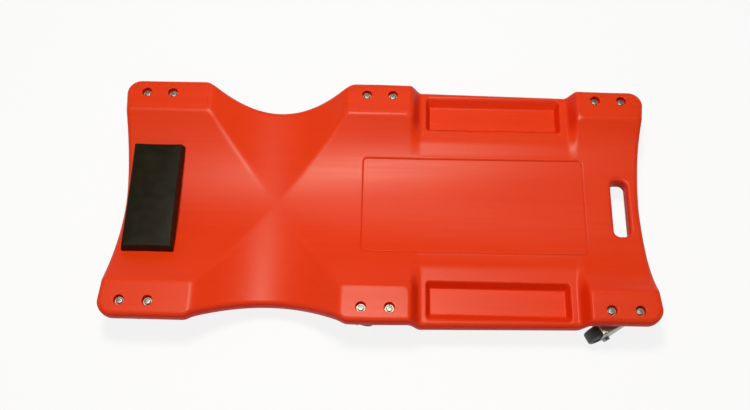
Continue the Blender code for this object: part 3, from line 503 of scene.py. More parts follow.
def panel_groove_shade(n):
    """One on the fine line round the torso panel and nothing away from it, from the place on the deck; it
    masks the painted shade along the panel's groove.
    """
    middle, half = (PANEL_START + PANEL_END) / 2, (PANEL_END - PANEL_START) / 2
    level = n.vector("MULTIPLY", n.place, (1.0, 1.0, 0.0))
    beside = n.vector("ABSOLUTE", n.vector("SUBTRACT", level, (middle, 0.0, 0.0)))
    out = n.vector("SUBTRACT", beside, (half - PANEL_CORNER, PANEL_HALF_WIDTH - PANEL_CORNER, 0.0))
    beyond = n.vector("LENGTH", n.vector("MAXIMUM", out, (0.0, 0.0, 0.0)), output="Value")
    parts = n.add("ShaderNodeSeparateXYZ")
    n.link(out, parts.inputs[0])
    within = n.number("MINIMUM", n.number("MAXIMUM", parts.outputs["X"], parts.outputs["Y"]), 0.0)
    outside = n.number("SUBTRACT", n.number("ADD", beyond, within), PANEL_CORNER)
    return n.span(n.number("ABSOLUTE", outside), PANEL_GROOVE_HALF * 0.5, PANEL_GROOVE_HALF * 1.6, 1.0, 0.0)


def red_polyethylene():
    """Moulded polyethylene: soft mottling, faint flow streaks and a fine grain, with painted shade as a
    deeper red on the upright walls and as a darker line along the panel's groove.
    """
    n = Nodes("red_polyethylene_look")
    streaks = n.noise(1.0, 3.0, 0.6, n.stretched((3.0, 170.0, 170.0)))
    mottle = n.noise(7.0, 3.0)
    colour = n.mix(n.span(mottle, 0.3, 0.7, 0.0, 1.0), RED_LIGHT, RED_DARK)
    colour = n.mix(n.span(streaks, 0.35, 0.75, 0.0, 0.35), colour, RED_STREAK)
    # Painted shade: a darker red line along the groove round the torso panel.
    colour = n.mix(n.span(panel_groove_shade(n), 0.0, 1.0, 0.0, 0.30), colour, RED_GROOVE_SHADE)
    upward = n.upward()
    # Painted shade: upright walls turn a deeper, darker red than level tops.
    colour = n.mix(n.span(upward, 0.30, 0.80, 0.0, 1.0), RED_WALL_SHADE, colour)
    roughness = n.span(streaks, 0.3, 0.7, 0.37, 0.43)
    normal = n.bump(n.noise(1500.0, 2.0), 0.10, 0.0002)
    normal = n.bump(n.noise(1.0, 2.0, 0.5, n.stretched((4.0, 260.0, 260.0))), 0.05, 0.0002, normal)
    n.link(n.span(upward, 0.30, 0.80, 0.06, 0.25), n.shader.inputs["Specular IOR Level"])
    return n.wire(colour, roughness, normal)


def black_vinyl():
    n = Nodes("black_vinyl_look")
    cloud = n.noise(30.0, 3.0)
    colour = n.mix(n.span(cloud, 0.3, 0.7, 0.0, 1.0), VINYL_DARK, VINYL_LIGHT)
    roughness = n.span(n.noise(60.0, 3.0), 0.3, 0.7, 0.30, 0.40)
    normal = n.bump(n.cells(1100.0), 0.10, 0.0003)
    normal = n.bump(n.noise(160.0, 3.0), 0.05, 0.0006, normal)
    n.set(Specular_IOR_Level=0.14)
    return n.wire(colour, roughness, normal)


def zinc(name, light, dark, rough_low, rough_high, grain):
    """Zinc plating: metal with cloudy passivation, fine handling marks and a slight grain."""
    n = Nodes(name)
    cloud = n.noise(140.0, 4.0, 0.6)
    colour = n.mix(n.span(cloud, 0.3, 0.7, 0.0, 1.0), light, dark)
    roughness = n.span(n.noise(420.0, 3.0), 0.3, 0.7, rough_low, rough_high)
    normal = n.bump(n.noise(1800.0, 2.0), grain, 0.0002)
    n.set(Metallic=1.0)
    return n.wire(colour, roughness, normal)


def black_wheel():
    """Hard black plastic with grey scuffs where the tread has rolled."""
    n = Nodes("black_wheel_look")
    scuffs = n.noise(1.0, 4.0, 0.65, n.stretched((160.0, 420.0, 160.0)))
    colour = n.mix(n.span(scuffs, 0.5, 0.8, 0.0, 0.5), WHEEL_BLACK, WHEEL_SCUFF)
    roughness = n.span(scuffs, 0.3, 0.75, 0.42, 0.68)
    normal = n.bump(n.noise(900.0, 3.0), 0.12, 0.0003)
    return n.wire(colour, roughness, normal)


def hardboard():
    n = Nodes("hardboard_look")
    fibres = n.noise(1.0, 4.0, 0.7, n.stretched((700.0, 220.0, 700.0)))
    colour = n.mix(n.span(fibres, 0.3, 0.7, 0.0, 1.0), BOARD_LIGHT, BOARD_DARK)
    return n.wire(colour, n.span(fibres, 0.3, 0.7, 0.7, 0.9), n.bump(fibres, 0.2, 0.0004))


LOOKS = {
    "red_polyethylene": red_polyethylene(),
    "black_vinyl": black_vinyl(),
    "zinc_plate": zinc("zinc_plate_look", (0.40, 0.39, 0.34), (0.29, 0.28, 0.24), 0.34, 0.50, 0.10),
    "bright_zinc": zinc("bright_zinc_look", (0.46, 0.45, 0.43), (0.30, 0.29, 0.28), 0.42, 0.56, 0.08),
    "bearing_steel": zinc("bearing_steel_look", (0.66, 0.66, 0.66), (0.56, 0.56, 0.57), 0.10, 0.20, 0.02),
    "black_wheel": black_wheel(),
    "hardboard": hardboard(),
}


# Deck


def eased(distance, ease):
    """Nothing before -ease, the distance itself after +ease, and a parabola between."""
    inside = np.clip((distance + ease) / (2 * ease), 0, 1)
    return np.where(distance > ease, distance, ease * inside**2)


def smooth(share):
    share = np.clip(share, 0, 1)
    return share * share * (3 - 2 * share)


def half_width(x):
    places = (HEAD_CASTER_X, MID_CASTER_X, FOOT_CASTER_X)
    sides = np.interp(x, places, (HEAD_HALF_WIDTH, MID_HALF_WIDTH, FOOT_HALF_WIDTH))
    reach = WAIST_LENGTH / 2 + WAIST_LEAD
    inside = eased(reach - np.abs(x - WAIST_X), WAIST_CORNER_EASE)
    return sides - WAIST_DEPTH * (1 - (1 - inside / reach) ** 2)


def corner_drop(x, aside):
    """Falls away from each pad's outline with its inner corners rounded in plan."""
    beside_mid = np.maximum(MID_PAD_HEAD_EDGE - x, x - MID_PAD_FOOT_EDGE)
    along = np.minimum(np.minimum(x - HEAD_PAD_EDGE, FOOT_PAD_EDGE - x), beside_mid) + PAD_CORNER
    across = PAD_INNER - aside + PAD_CORNER
    outside = np.hypot(np.clip(along, 0, None), np.clip(across, 0, None)) - PAD_CORNER
    fall = PAD_CORNER_SLOPE * eased(outside, PAD_EDGE_EASE) / PAD_CORNER_DEPTH
    return PAD_CORNER_DEPTH * (1 - np.exp(-fall))


def trough_drop(x, aside):
    """The long hollow between the pads: a round dish at the head end, shallower and flatter to the foot."""
    start = HEADREST_X + HEADREST_LENGTH / 2
    change = np.clip((x - start) / (HALF_LENGTH - start), 0, 1) ** TROUGH_CHANGE_POWER
    depth = TROUGH_HEAD_DEPTH + (TROUGH_FOOT_DEPTH - TROUGH_HEAD_DEPTH) * change
    power = TROUGH_HEAD_POWER + (TROUGH_FOOT_POWER - TROUGH_HEAD_POWER) * change
    outward = np.clip(1 - eased(PAD_INNER - aside, PAD_EDGE_EASE) / PAD_INNER, 0, 1)
    return depth * (1 - outward**power)


def deck_drop(x, y):
    """How far the deck's top lies below the pads, without trays, panel and edge rounding."""
    aside = np.abs(y)
    trough = trough_drop(x, aside)
    widened = np.clip(aside / PAD_INNER, SCOOP_POINT, 1)
    ease = RIDGE_EASE + (PAD_RIDGE_EASE - RIDGE_EASE) * widened
    scoop = eased(1 - ((x - WAIST_X) / (WAIST_LENGTH / 2 * widened)) ** 2, ease)
    middle_drop = trough_drop(WAIST_X, 0.0)
    scoop_drop = middle_drop + (WAIST_EDGE_DROP - middle_drop) * (aside / half_width(WAIST_X)) ** 2
    hollow = trough + (scoop_drop - trough) * scoop
    slope = smooth((LEDGE_INNER - aside) / LEDGE_RUN)
    foot_of_slope = trough_drop(x, np.minimum(aside, LEDGE_INNER - LEDGE_RUN))
    ledge = LEDGE_DROP + (foot_of_slope - LEDGE_DROP) * slope
    bay = smooth((x - MID_PAD_FOOT_EDGE) / LEDGE_MID_RAMP) * smooth((FOOT_PAD_EDGE - x) / LEDGE_FOOT_RAMP)
    drop = hollow + (ledge - hollow) * bay
    return drop + eased(corner_drop(x, aside) - drop - PAD_CORNER_BLEND, PAD_CORNER_BLEND)


def tray_drop(x, y):
    """Depth of the trays: drafted walls, rounded corners, a soft rim and a small fillet at the floor."""
    aside = np.abs(y)
    along = np.minimum(x - TRAY_START, TRAY_END - x) / TRAY_END_DRAFT
    across = np.minimum((aside - TRAY_INNER) / TRAY_INNER_DRAFT, (TRAY_OUTER - aside) / TRAY_OUTER_DRAFT)
    short_along = np.clip(TRAY_CORNER_SHARE - along, 0, None)
    short_across = np.clip(TRAY_CORNER_SHARE - across, 0, None)
    corner = np.hypot(short_along, short_across)
    share = np.maximum(TRAY_CORNER_SHARE, np.minimum(along, across)) - corner
    return TRAY_DEPTH * (eased(share, TRAY_RIM_EASE) - eased(share - 1, TRAY_FLOOR_EASE))


def panel_drop(x, y):
    """Depth of the shallow torso panel and of the fine groove that runs round it."""
    middle, half = (PANEL_START + PANEL_END) / 2, (PANEL_END - PANEL_START) / 2
    out_x = np.abs(x - middle) - half + PANEL_CORNER
    out_y = np.abs(y) - PANEL_HALF_WIDTH + PANEL_CORNER
    outside = np.hypot(np.clip(out_x, 0, None), np.clip(out_y, 0, None)) - PANEL_CORNER
    outside = outside + np.minimum(np.maximum(out_x, out_y), 0)
    groove = PANEL_GROOVE * np.exp(-((outside / PANEL_GROOVE_HALF) ** 2))
    return PANEL_DEPTH * smooth(-outside / PANEL_STEP) + groove


def graded(start, end, coarse, bands, growth=0.30):
    """Places from start to end: fine in each (centre, half width, step) band and coarse away from them."""
    places = [start]
    while places[-1] < end:
        here = places[-1]
        steps = [step + growth * max(0.0, abs(here - centre) - half) for centre, half, step in bands]
        places.append(here + min([coarse, *steps]))
    stretch = (end - start) / (places[-1] - start)
    return [start + (place - start) * stretch for place in places]


def deck_grid():
    """(x, turn) of the lines across the deck, and places of the lines along it."""
    start = HALF_LENGTH - CORNER_RADIUS
    bands = [(TRAY_START + TRAY_BAND_IN, *TRAY_WALL_BAND), (TRAY_END - TRAY_BAND_IN, *TRAY_WALL_BAND)]
    bands += [(PANEL_START + PANEL_EDGE_IN, *PANEL_EDGE_BAND), (PANEL_END - PANEL_EDGE_IN, *PANEL_EDGE_BAND)]
    bands += [(PANEL_START + PANEL_SIDE_IN, *PANEL_SIDE_BAND), (PANEL_END - PANEL_SIDE_IN, *PANEL_SIDE_BAND)]
    bands += [(MID_PAD_FOOT_EDGE + MID_RAMP_OUT, *RAMP_BAND), (FOOT_PAD_EDGE - FOOT_RAMP_OUT, *RAMP_BAND)]
    bands += [(HEAD_PAD_EDGE, *PAD_END_BAND), (MID_PAD_HEAD_EDGE, *PAD_END_BAND), (WAIST_X, *WAIST_BAND)]
    straight = [(x, 0.0) for x in graded(-start, start, COARSE_ALONG, bands)]
    turns = [math.pi / 2 * step / 9 for step in range(1, 10)]
    stations = [(-start, turn) for turn in reversed(turns)] + straight + [(start, turn) for turn in turns]
    bands = [(PANEL_HALF_WIDTH - PANEL_EDGE_IN, *PANEL_EDGE_BAND)]
    bands.append((PANEL_HALF_WIDTH - PANEL_SIDE_IN, *PANEL_SIDE_BAND))
    bands += [(PAD_INNER, *PAD_SIDE_BAND), (LEDGE_MIDDLE, *LEDGE_BAND), (0.0, *MIDDLE_BAND)]
    bands.append((TRAY_INNER + TRAY_BAND_IN, *TRAY_WALL_BAND))
    bands.append((TRAY_OUTER - TRAY_OUTER_BAND_IN, *TRAY_OUTER_BAND))
    half = graded(0.0, MID_HALF_WIDTH, COARSE_ACROSS, bands)
    return np.array(stations), np.array([-y for y in reversed(half[1:])] + half)


def plan(stations, lines, inset):
    """Where the lines cross in plan on a deck whose outline is drawn in by the inset."""
    x, turn = stations[:, :1], stations[:, 1:]
    end = np.sign(x)
    radius = CORNER_RADIUS - inset
    half = half_width(x) - inset + radius * (np.cos(turn) - 1)
    x = np.where(turn > 0, end * (HALF_LENGTH - CORNER_RADIUS + radius * np.sin(turn)), x)
    straight = PAD_INNER + PAD_EDGE_EASE
    aside = np.abs(lines)[None, :]
    beyond = np.clip(aside - straight, 0, None) / (MID_HALF_WIDTH - straight)
    y = np.minimum(aside, straight) + beyond * (half - straight)
    reach = np.clip(np.abs(x) - HALF_LENGTH + END_SAG_REACH, 0, None) / (END_SAG_REACH - inset)
    across = y / (half_width(end * HALF_LENGTH) - CORNER_RADIUS)
    deepest = np.where(end < 0, HEAD_END_SAG, FOOT_END_SAG)
    sag = deepest * np.clip(1 - across**END_SAG_POWER, 0, None) * reach**END_SAG_POWER
    return x - end * sag, y * np.sign(lines)[None, :]


def edge_rows():
    """(share of the way out, height, reference) of the rows round the deck's edge, top to bottom."""
    rows = []
    for step in range(1, 8):
        angle = math.pi / 2 * step / 7
        rows.append((math.sin(angle), TOP_EDGE_RADIUS * (math.cos(angle) - 1), "top"))
    for share, height in ((0, 2), (1, 1), (1, -1), (0, -2)):
        rows.append((1 + share * PARTING_RIDGE, height * PARTING_HALF_HEIGHT, "middle"))
    draw = BOTTOM_EDGE_RADIUS / TOP_EDGE_RADIUS
    for step in range(6):
        angle = math.pi / 2 * step / 5
        share = 1 - draw * (1 - math.cos(angle))
        rows.append((share, BOTTOM_EDGE_RADIUS * (1 - math.sin(angle)), "bottom"))
    return rows


def deck_shape():
    """The deck's outer skin as a fine grid: top, rounded edge with its parting line, and underside."""
    stations, lines = deck_grid()
    rows, columns = len(stations), len(lines)
    x, y = plan(stations, lines, TOP_EDGE_RADIUS)
    x, y = np.broadcast_arrays(x, y)
    outer_x, outer_y = np.broadcast_arrays(*plan(stations, lines, 0.0))
    drop = deck_drop(x, y)
    top = np.stack([x, y, PAD_Z - drop - tray_drop(x, y) - panel_drop(x, y)], -1)
    rim = [(row, 0) for row in range(rows)] + [(rows - 1, column) for column in range(1, columns)]
    rim += [(row, columns - 1) for row in range(rows - 2, -1, -1)]
    rim += [(0, column) for column in range(columns - 2, 0, -1)]
    at = tuple(np.array(rim).T)
    points = [tuple(point) for point in top.reshape(-1, 3)]
    index = np.arange(rows * columns).reshape(rows, columns)
    loops = [index[at]]
    levels = {"top": PAD_Z, "middle": (PAD_Z + SEAT_Z) / 2, "bottom": SEAT_Z}
    for share, height, reference in edge_rows():
        ring_x = x[at] + share * (outer_x[at] - x[at])
        ring_y = y[at] + share * (outer_y[at] - y[at])
        ring_z = levels[reference] - drop[at] + height
        if reference == "top":
            ring_z = ring_z - tray_drop(ring_x, ring_y)
        loops.append(np.arange(len(points), len(points) + len(rim)))
        points += list(zip(ring_x, ring_y, ring_z))
    under = np.full((rows, columns), -1)
    under[at] = loops[-1]
    inner = slice(1, rows - 1), slice(1, columns - 1)
    within = (rows - 2, columns - 2)
    under[inner] = np.arange(len(points), len(points) + within[0] * within[1]).reshape(within)
    points += list(zip(x[inner].ravel(), y[inner].ravel(), (SEAT_Z - drop[inner]).ravel()))
    faces = []
    for grid, flip in ((index, 1), (under, -1)):
        cells = np.stack([grid[:-1, :-1], grid[1:, :-1], grid[1:, 1:], grid[:-1, 1:]], -1).reshape(-1, 4)
        faces += cells[:, ::flip].tolist()
    for upper, lower in zip(loops, loops[1:]):
        faces += np.stack([upper, lower, np.roll(lower, -1), np.roll(upper, -1)], -1).tolist()
    return points, faces


def hole_profile(radius, rim, top, bottom):
    """A blind round hole with a rounded mouth, for spinning."""
    profile = [(0.0, top + rim), (radius + rim, top + rim)]
    for step in range(6):
        angle = math.pi / 2 * step / 5
        profile.append((radius + rim * (1 - math.sin(angle)), top - rim * (1 - math.cos(angle))))
    return profile + [(radius, bottom), (0.0, bottom)]


def slot_cutter():
    """The hand slot, rounded over at the top and bottom."""
    floor = PAD_Z - float(deck_drop(SLOT_X, 0.0))
    rows = [(SLOT_RIM, floor + SLOT_RIM)]
    for step in range(8):
        angle = math.pi / 2 * step / 7
        rows.append((SLOT_RIM * (1 - math.sin(angle)), floor - SLOT_RIM * (1 - math.cos(angle))))
    under, rim = floor - DECK_THICKNESS, SLOT_RIM * SLOT_UNDER_SHARE
    for step in range(6):
        angle = math.pi / 2 * step / 5
        rows.append((rim * (1 - math.cos(angle)), under + rim * (1 - math.sin(angle))))
    rows.append((rim, under - rim))
    rings = []
    for grow, z in rows:
        half_x, half_y = SLOT_WIDTH / 2 + grow, SLOT_LENGTH / 2 + grow
        outline = rounded_rectangle(half_x, half_y, SLOT_CORNER + grow, 10, (SLOT_X, 0))
        rings.append([(px, py, z) for px, py in outline])
    return loft(rings)


def joint_named(name):
    return next(joint for joint in frame["joints"] if joint["name"] == name)


def caster_places():
    """Body stem, side, swivel place and turn of each caster, from the frame's joints."""
    places = []
    for end in ENDS:
        for side in SIDES:
            stem = f"{end}_{side}"
            x, y, _ = joint_named(f"{stem}_swivel")["pos_m"]
            axis = joint_named(f"{stem}_roll")["axis"]
            places.append((stem, side, Vector((x, y, 0.0)), math.atan2(-axis[0], axis[1])))
    return places


def bolt_places():
    steps = [Vector((along * BOLT_SPACING / 2, 0, 0)) for along in (-1, 1)]
    return [place + step for _, _, place, _ in caster_places() for step in steps]


def screw_places():
    return [Vector((HEADREST_X, side * SCREW_SPREAD / 2, 0.0)) for side in (1, -1)]


def make_deck():
    bottom = PAD_Z - COUNTERBORE_DEPTH
    bolt_hole = lathe(hole_profile(COUNTERBORE_RADIUS, COUNTERBORE_RIM, PAD_Z, bottom), 40)
    cuts = [moved(bolt_hole, Matrix.Translation(place)) for place in bolt_places()]
    cuts.append(slot_cutter())
    under = SEAT_Z - float(deck_drop(BLOW_HOLE_X, 0.0))
    vent = lathe(hole_profile(BLOW_HOLE_RADIUS, BLOW_HOLE_RIM, 0.0, -HOLE_DEPTH), 32)
    cuts.append(moved(vent, Matrix.Translation((BLOW_HOLE_X, 0, under)) @ UPSIDE_DOWN))
    for place in screw_places():
        low = SEAT_Z - float(deck_drop(place.x, place.y))
        well = lathe(hole_profile(SCREW_WELL_RADIUS, SCREW_WELL_RIM, 0.0, -HOLE_DEPTH), 32)
        cuts.append(moved(well, Matrix.Translation((place.x, place.y, low)) @ UPSIDE_DOWN))
    mesh = finished("deck_form", deck_shape(), [("DIFFERENCE", joined(*cuts))], smooth_deg=42)
    deck = dress("deck", mesh, "red_polyethylene", "deck_body")
    normals = deck.modifiers.new("flat faces first", "WEIGHTED_NORMAL")
    normals.keep_sharp = True


# Headrest


HEADREST_CORNER_STEPS = 6
HEADREST_SIDE_STEPS = {6: 12, 13: 40, 20: 12, 27: 40}


def headrest_level(z, base, height, inset):
    """Outline of the headrest at one height: a tapering rounded rectangle whose sides bow in."""
    inset = inset + HEADREST_TAPER * (z - base) / height
    half_x, half_y = HEADREST_LENGTH / 2 - inset, HEADREST_WIDTH / 2 - inset
    corner = max(HEADREST_LEAST_CORNER, HEADREST_CORNER - inset * HEADREST_CORNER_LOSS)
    outline = rounded_rectangle(half_x, half_y, corner, HEADREST_CORNER_STEPS)
    full = []
    for this, point in enumerate(outline):
        after = outline[(this + 1) % len(outline)]
        count = HEADREST_SIDE_STEPS.get(this, 1)
        for step in range(count):
            share = step / count
            x = point[0] + (after[0] - point[0]) * share
            y = point[1] + (after[1] - point[1]) * share
            full.append((x, y))
    ring = []
    for x, y in full:
        bow_x = HEADREST_DRAW * math.cos(math.pi / 2 * min(1, abs(y) / half_y)) * abs(x) / half_x
        bow_y = HEADREST_DRAW * math.cos(math.pi / 2 * min(1, abs(x) / half_x)) * abs(y) / half_y
        ring.append((HEADREST_X + x - math.copysign(bow_x, x), y - math.copysign(bow_y, y), z))
    return ring


def headrest_shape(base, top):
    """A block with tapered sides, a tight rounded edge and a level top made of shrinking rings."""
    height = top - base
    shoulder = top - HEADREST_EDGE
    rings = [headrest_level(base, base, height, 0.0)]
    for share in (0.12, 0.3, 0.5, 0.7, 0.88, 1.0):
        rings.append(headrest_level(base + (shoulder - base) * share, base, height, 0.0))
    for step in range(1, 7):
        angle = math.pi / 2 * step / 6
        z = shoulder + HEADREST_EDGE * math.sin(angle)
        rings.append(headrest_level(z, base, height, HEADREST_EDGE * (1 - math.cos(angle))))
    last = HEADREST_LENGTH / 2 - HEADREST_TAPER - HEADREST_EDGE
    for step in range(1, 11):
        rings.append(headrest_level(top, base, height, HEADREST_EDGE + last * HEADREST_TOP_SHARE * step / 10))
    points, faces = loft(rings)
    count = len(rings[0])
    first = len(points) - count
    mirror = 2 * HEADREST_CORNER_STEPS + HEADREST_SIDE_STEPS[6]
    faces.pop()
    for this in range(mirror // 2, mirror // 2 + count // 2):
        corners = (this, this + 1, mirror - this - 1, mirror - this)
        faces.append(list(dict.fromkeys(first + corner % count for corner in corners)))
    return points, faces


def swollen(piece, pinned, cap):
    """Lets a cloth skin swell under a little pressure with its pinned points held, up to a cap."""
    rest = np.array([vertex.co for vertex in piece.data.vertices])
    group = piece.vertex_groups.new(name="held")
    group.add([int(number) for number in np.nonzero(pinned)[0]], 1.0, "REPLACE")
    cloth = piece.modifiers.new("cover", "CLOTH")
    cloth.settings.use_pressure = True
    cloth.settings.uniform_pressure_force = 4.0
    cloth.settings.quality = 6
    cloth.settings.mass = 0.3
    cloth.settings.tension_stiffness = 25.0
    cloth.settings.compression_stiffness = 25.0
    cloth.settings.bending_stiffness = 2.0
    cloth.settings.vertex_group_mass = "held"
    cloth.settings.effector_weights.gravity = 0.0
    scene = bpy.context.scene
    for number in range(1, 21):
        scene.frame_set(number)
    graph = bpy.context.evaluated_depsgraph_get()
    result = piece.evaluated_get(graph).to_mesh()
    moves = np.array([vertex.co for vertex in result.vertices]) - rest
    piece.evaluated_get(graph).to_mesh_clear()
    scene.frame_set(1)
    piece.modifiers.remove(cloth)
    piece.vertex_groups.remove(group)
    moves *= min(1.0, cap / np.linalg.norm(moves, axis=1).max())
    piece.data.vertices.foreach_set("co", (rest + moves).ravel())
    piece.data.update()


def make_headrest():
    low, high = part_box("headrest_cover")
    level = high.z - HEADREST_CAP
    mesh = to_mesh("headrest_cover_form", headrest_shape(low.z, level), 60)
    piece = dress("headrest_cover", mesh, "black_vinyl", "deck_body", also=("headrest_foam",))
    heights = np.array([vertex.co.z for vertex in mesh.vertices])
    sides = heights < level - HEADREST_EDGE / 2
    swollen(piece, sides, HEADREST_CAP)
    fine = piece.modifiers.new("skin", "SUBSURF")
    fine.levels = fine.render_levels = 1
    board = frame["nodes"]["headrest_board"]
    board.data.materials.clear()
    board.data.materials.append(LOOKS["hardboard"])
    for side, place in zip(SIDES, screw_places()):
        node = f"headrest_screw_{side}"
        head_low, tip = [corner.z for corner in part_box(node)]
        body = [(0, tip), (SCREW_RADIUS, tip - SCREW_POINT), (SCREW_RADIUS, head_low + SCREW_HEAD[0][1])]
        body += [(radius, head_low + rise) for radius, rise in SCREW_HEAD]
        body.append((0, head_low))
        recess = moved(cross_cutter(*SCREW_RECESS), Matrix.Translation((0, 0, head_low)) @ UPSIDE_DOWN)
        screw = finished(f"{node}_form", lathe(body, 32), [("DIFFERENCE", recess)], smooth_deg=40)
        spot = Matrix.Translation((place.x, place.y, 0))
        dress(node, screw, "bright_zinc", "deck_body", spot)


# Casters. Each mesh is drawn about its own joint axis and shared by the six casters.


def cross_cutter(length, width, depth):
    """A tapered cross that cuts a driver recess from z = 0 downward."""
    rings = []
    for z, size in ((depth, 1.25), (-depth, 0.55)):
        a, b = length / 2 * size, width / 2 * (0.5 + size / 2)
        outline = [(a, -b), (a, b), (b, b), (b, a), (-b, a), (-b, b)]
        outline += [(-x, -y) for x, y in outline]
        rings.append([(x, y, z) for x, y in outline])
    return loft(rings)


def race_profile(outer, low, high, lip):
    """Pressed ring with a rounded rim, as (radius, z) points from its top to its bottom."""
    rim = [(outer - lip, high), (outer - lip * 0.3, high - lip * 0.3), (outer, high - lip)]
    return [(0, high), *rim, (outer, low), (0, low)]


def plate_mesh():
    outline = rounded_rectangle(PLATE_HALF_LENGTH, PLATE_HALF_WIDTH, PLATE_CORNER, 10)
    plate = to_solid_bevel(prism(outline, PLATE_UNDER, PLATE_TOP), PLATE_EDGE)
    race = race_profile(RACE_RADIUS, 0.0, RACE_HEIGHT + SHEET / 2, RACE_LIP)
    race = moved(lathe(race, 56), Matrix.Translation((0, 0, PLATE_UNDER + SHEET / 2)) @ UPSIDE_DOWN)
    return to_mesh("caster_plate_form", joined(plate, race), 40)


def to_solid_bevel(shape, width):
    """A shape with its sharp edges rounded over."""
    return shape_of(finished("rounded", shape, bevel=width, bevel_steps=3))


def ball_ring_mesh():
    balls = []
    angles = np.linspace(0, math.pi, 9)
    ball = [(BALL_RADIUS * math.sin(angle), BALL_RADIUS * math.cos(angle)) for angle in angles]
    middle = (FORK_TOP + PLATE_UNDER) / 2
    for count in range(BALL_COUNT):
        turn = 2 * math.pi * count / BALL_COUNT
        place = Matrix.Translation((BALL_CIRCLE * math.cos(turn), BALL_CIRCLE * math.sin(turn), middle))
        balls.append(moved(lathe(ball, 14), place))
    return to_mesh("ball_ring_form", joined(*balls), 80)


def kingpin_mesh():
    top, head = PLATE_TOP - REST_GAP, FORK_UNDER - REST_GAP
    low = head - KINGPIN_HEAD_HEIGHT
    profile = [(0, top), (KINGPIN_HEAD_RADIUS - REST_GAP, top)]
    profile += [(KINGPIN_RADIUS, PLATE_UNDER), (KINGPIN_RADIUS, head)]
    profile.append((KINGPIN_HEAD_RADIUS - KINGPIN_HEAD_EDGE, head))
    profile.append((KINGPIN_HEAD_RADIUS, head - KINGPIN_HEAD_EDGE))
    for step in range(9):
        angle = math.pi / 2 * step / 8
        z = low + (KINGPIN_HEAD_HEIGHT - KINGPIN_HEAD_SIDE) * (1 - math.sin(angle))
        profile.append((KINGPIN_HEAD_RADIUS * math.cos(angle) if step < 8 else 0.0, z))
    return to_mesh("kingpin_form", lathe(profile, 40), 35)


def fork_mesh():
    """A channel bent from sheet, cut to the side view of its legs, with the lower race on top."""
    low = AXLE_Z - FORK_BOSS_RADIUS - CUT_MARGIN
    half = arc((FORK_OUTER - FORK_BEND, FORK_TOP - FORK_BEND), FORK_BEND, 90, 0, 8)
    half += [(FORK_OUTER, low), (FORK_INNER, low)]
    inner = (FORK_INNER - FORK_INNER_BEND, FORK_UNDER - FORK_INNER_BEND)
    half += arc(inner, FORK_INNER_BEND, 0, 90, 4)
    section = half + [(-y, z) for y, z in reversed(half)]
    rings = [[(x, y, z) for y, z in section] for x in (FORK_REAR - CUT_MARGIN, FORK_FRONT + CUT_MARGIN)]
    over, shoulder = FORK_TOP + CUT_MARGIN, FORK_TOP - FORK_SHOULDER
    side = [(FORK_FRONT, over), (FORK_REAR, over), (FORK_REAR, shoulder)]
    side += arc((-CASTER_TRAIL, AXLE_Z), FORK_BOSS_RADIUS, 195, 345, 24)
    side.append((FORK_FRONT, shoulder))
    profile = [[(x, y, z) for x, z in side] for y in (-FORK_OUTER - CUT_MARGIN, FORK_OUTER + CUT_MARGIN)]
    channel = finished("channel", loft(rings), [("INTERSECT", loft(profile))], bevel=FORK_EDGE, bevel_steps=2)
    race = lathe(race_profile(RACE_RADIUS, 0.0, RACE_HEIGHT + SHEET / 2, RACE_LIP), 56)
    race = moved(race, Matrix.Translation((0, 0, FORK_UNDER + SHEET / 2)))
    return to_mesh("fork_form", joined(shape_of(channel), race), 35)


def wheel_mesh():
    """Crowned tread with a moulding line, rounded shoulders, dished webs and a hub."""
    half, hub = WHEEL_HALF, FORK_INNER - REST_GAP
    one_side = [(AXLE_RADIUS + WHEEL_BORE_GAP, hub)]
    one_side += [(radius, hub - depth) for radius, depth in HUB_SECTION]
    one_side += [(radius, half - depth) for radius, depth in WEB_SECTION]
    one_side += [(WHEEL_RADIUS - inside, half - depth) for inside, depth in RIM_SECTION]
    one_side += arc((WHEEL_RADIUS - TREAD_ROUND, half - TREAD_ROUND), TREAD_ROUND, 90, 0, 8)
    one_side += [(WHEEL_RADIUS, MOULD_LINE_HALF), (WHEEL_RADIUS + MOULD_LINE_RISE, MOULD_LINE_HALF / 2)]
    profile = one_side + [(radius, -z) for radius, z in reversed(one_side)]
    shape = moved(ring_of(profile, 96), Matrix.Rotation(math.pi / 2, 4, "X"))
    return to_mesh("wheel_form", shape, 40)


def nut_shape(radius, low, high, bore):
    """A hexagon nut with chamfered corners and a bore."""
    chamfer = radius * 0.10
    flat = radius * 0.92
    wide = radius + 0.0002
    profile = [(0, high), (flat, high), (wide, high - chamfer), (wide, low + chamfer), (flat, low), (0, low)]
    cuts = [("INTERSECT", lathe(profile, 48))]
    if bore:
        above, below = high + CUT_MARGIN / 2, low - CUT_MARGIN / 2
        cuts.append(("DIFFERENCE", lathe([(0, above), (bore, above), (bore, below), (0, below)], 32)))
    return shape_of(finished("nut", prism(hexagon(radius), low, high), cuts))


def threaded(radius, low, high):
    """A shank whose surface rises and falls like a thread, closed at both ends."""
    count = max(2, round((high - low) / THREAD_PITCH))
    profile = [(0, high), (radius, high)]
    for turn in range(count):
        z = high - (turn + 0.5) * (high - low) / count
        profile += [(radius - THREAD_DEPTH, z), (radius, z - (high - low) / count / 2)]
    return lathe(profile[:-1] + [(radius - THREAD_POINT, low), (0, low)], 24)


def axle_mesh():
    face = FORK_OUTER + REST_GAP
    tip = -face - AXLE_NUT_HEIGHT - THREAD_PAST_NUT
    head = nut_shape(AXLE_HEAD_RADIUS, face, face + AXLE_HEAD_HEIGHT, 0.0)
    thread_end = -face + SHANK_IN_HEAD
    within = face + SHANK_IN_HEAD
    shank = lathe([(0, within), (AXLE_RADIUS, within), (AXLE_RADIUS, thread_end), (0, thread_end)], 32)
    thread = threaded(AXLE_RADIUS - REST_GAP / 2, tip, thread_end)
    return to_mesh("axle_form", moved(joined(head, shank, thread), ALONG_AXLE), 35)


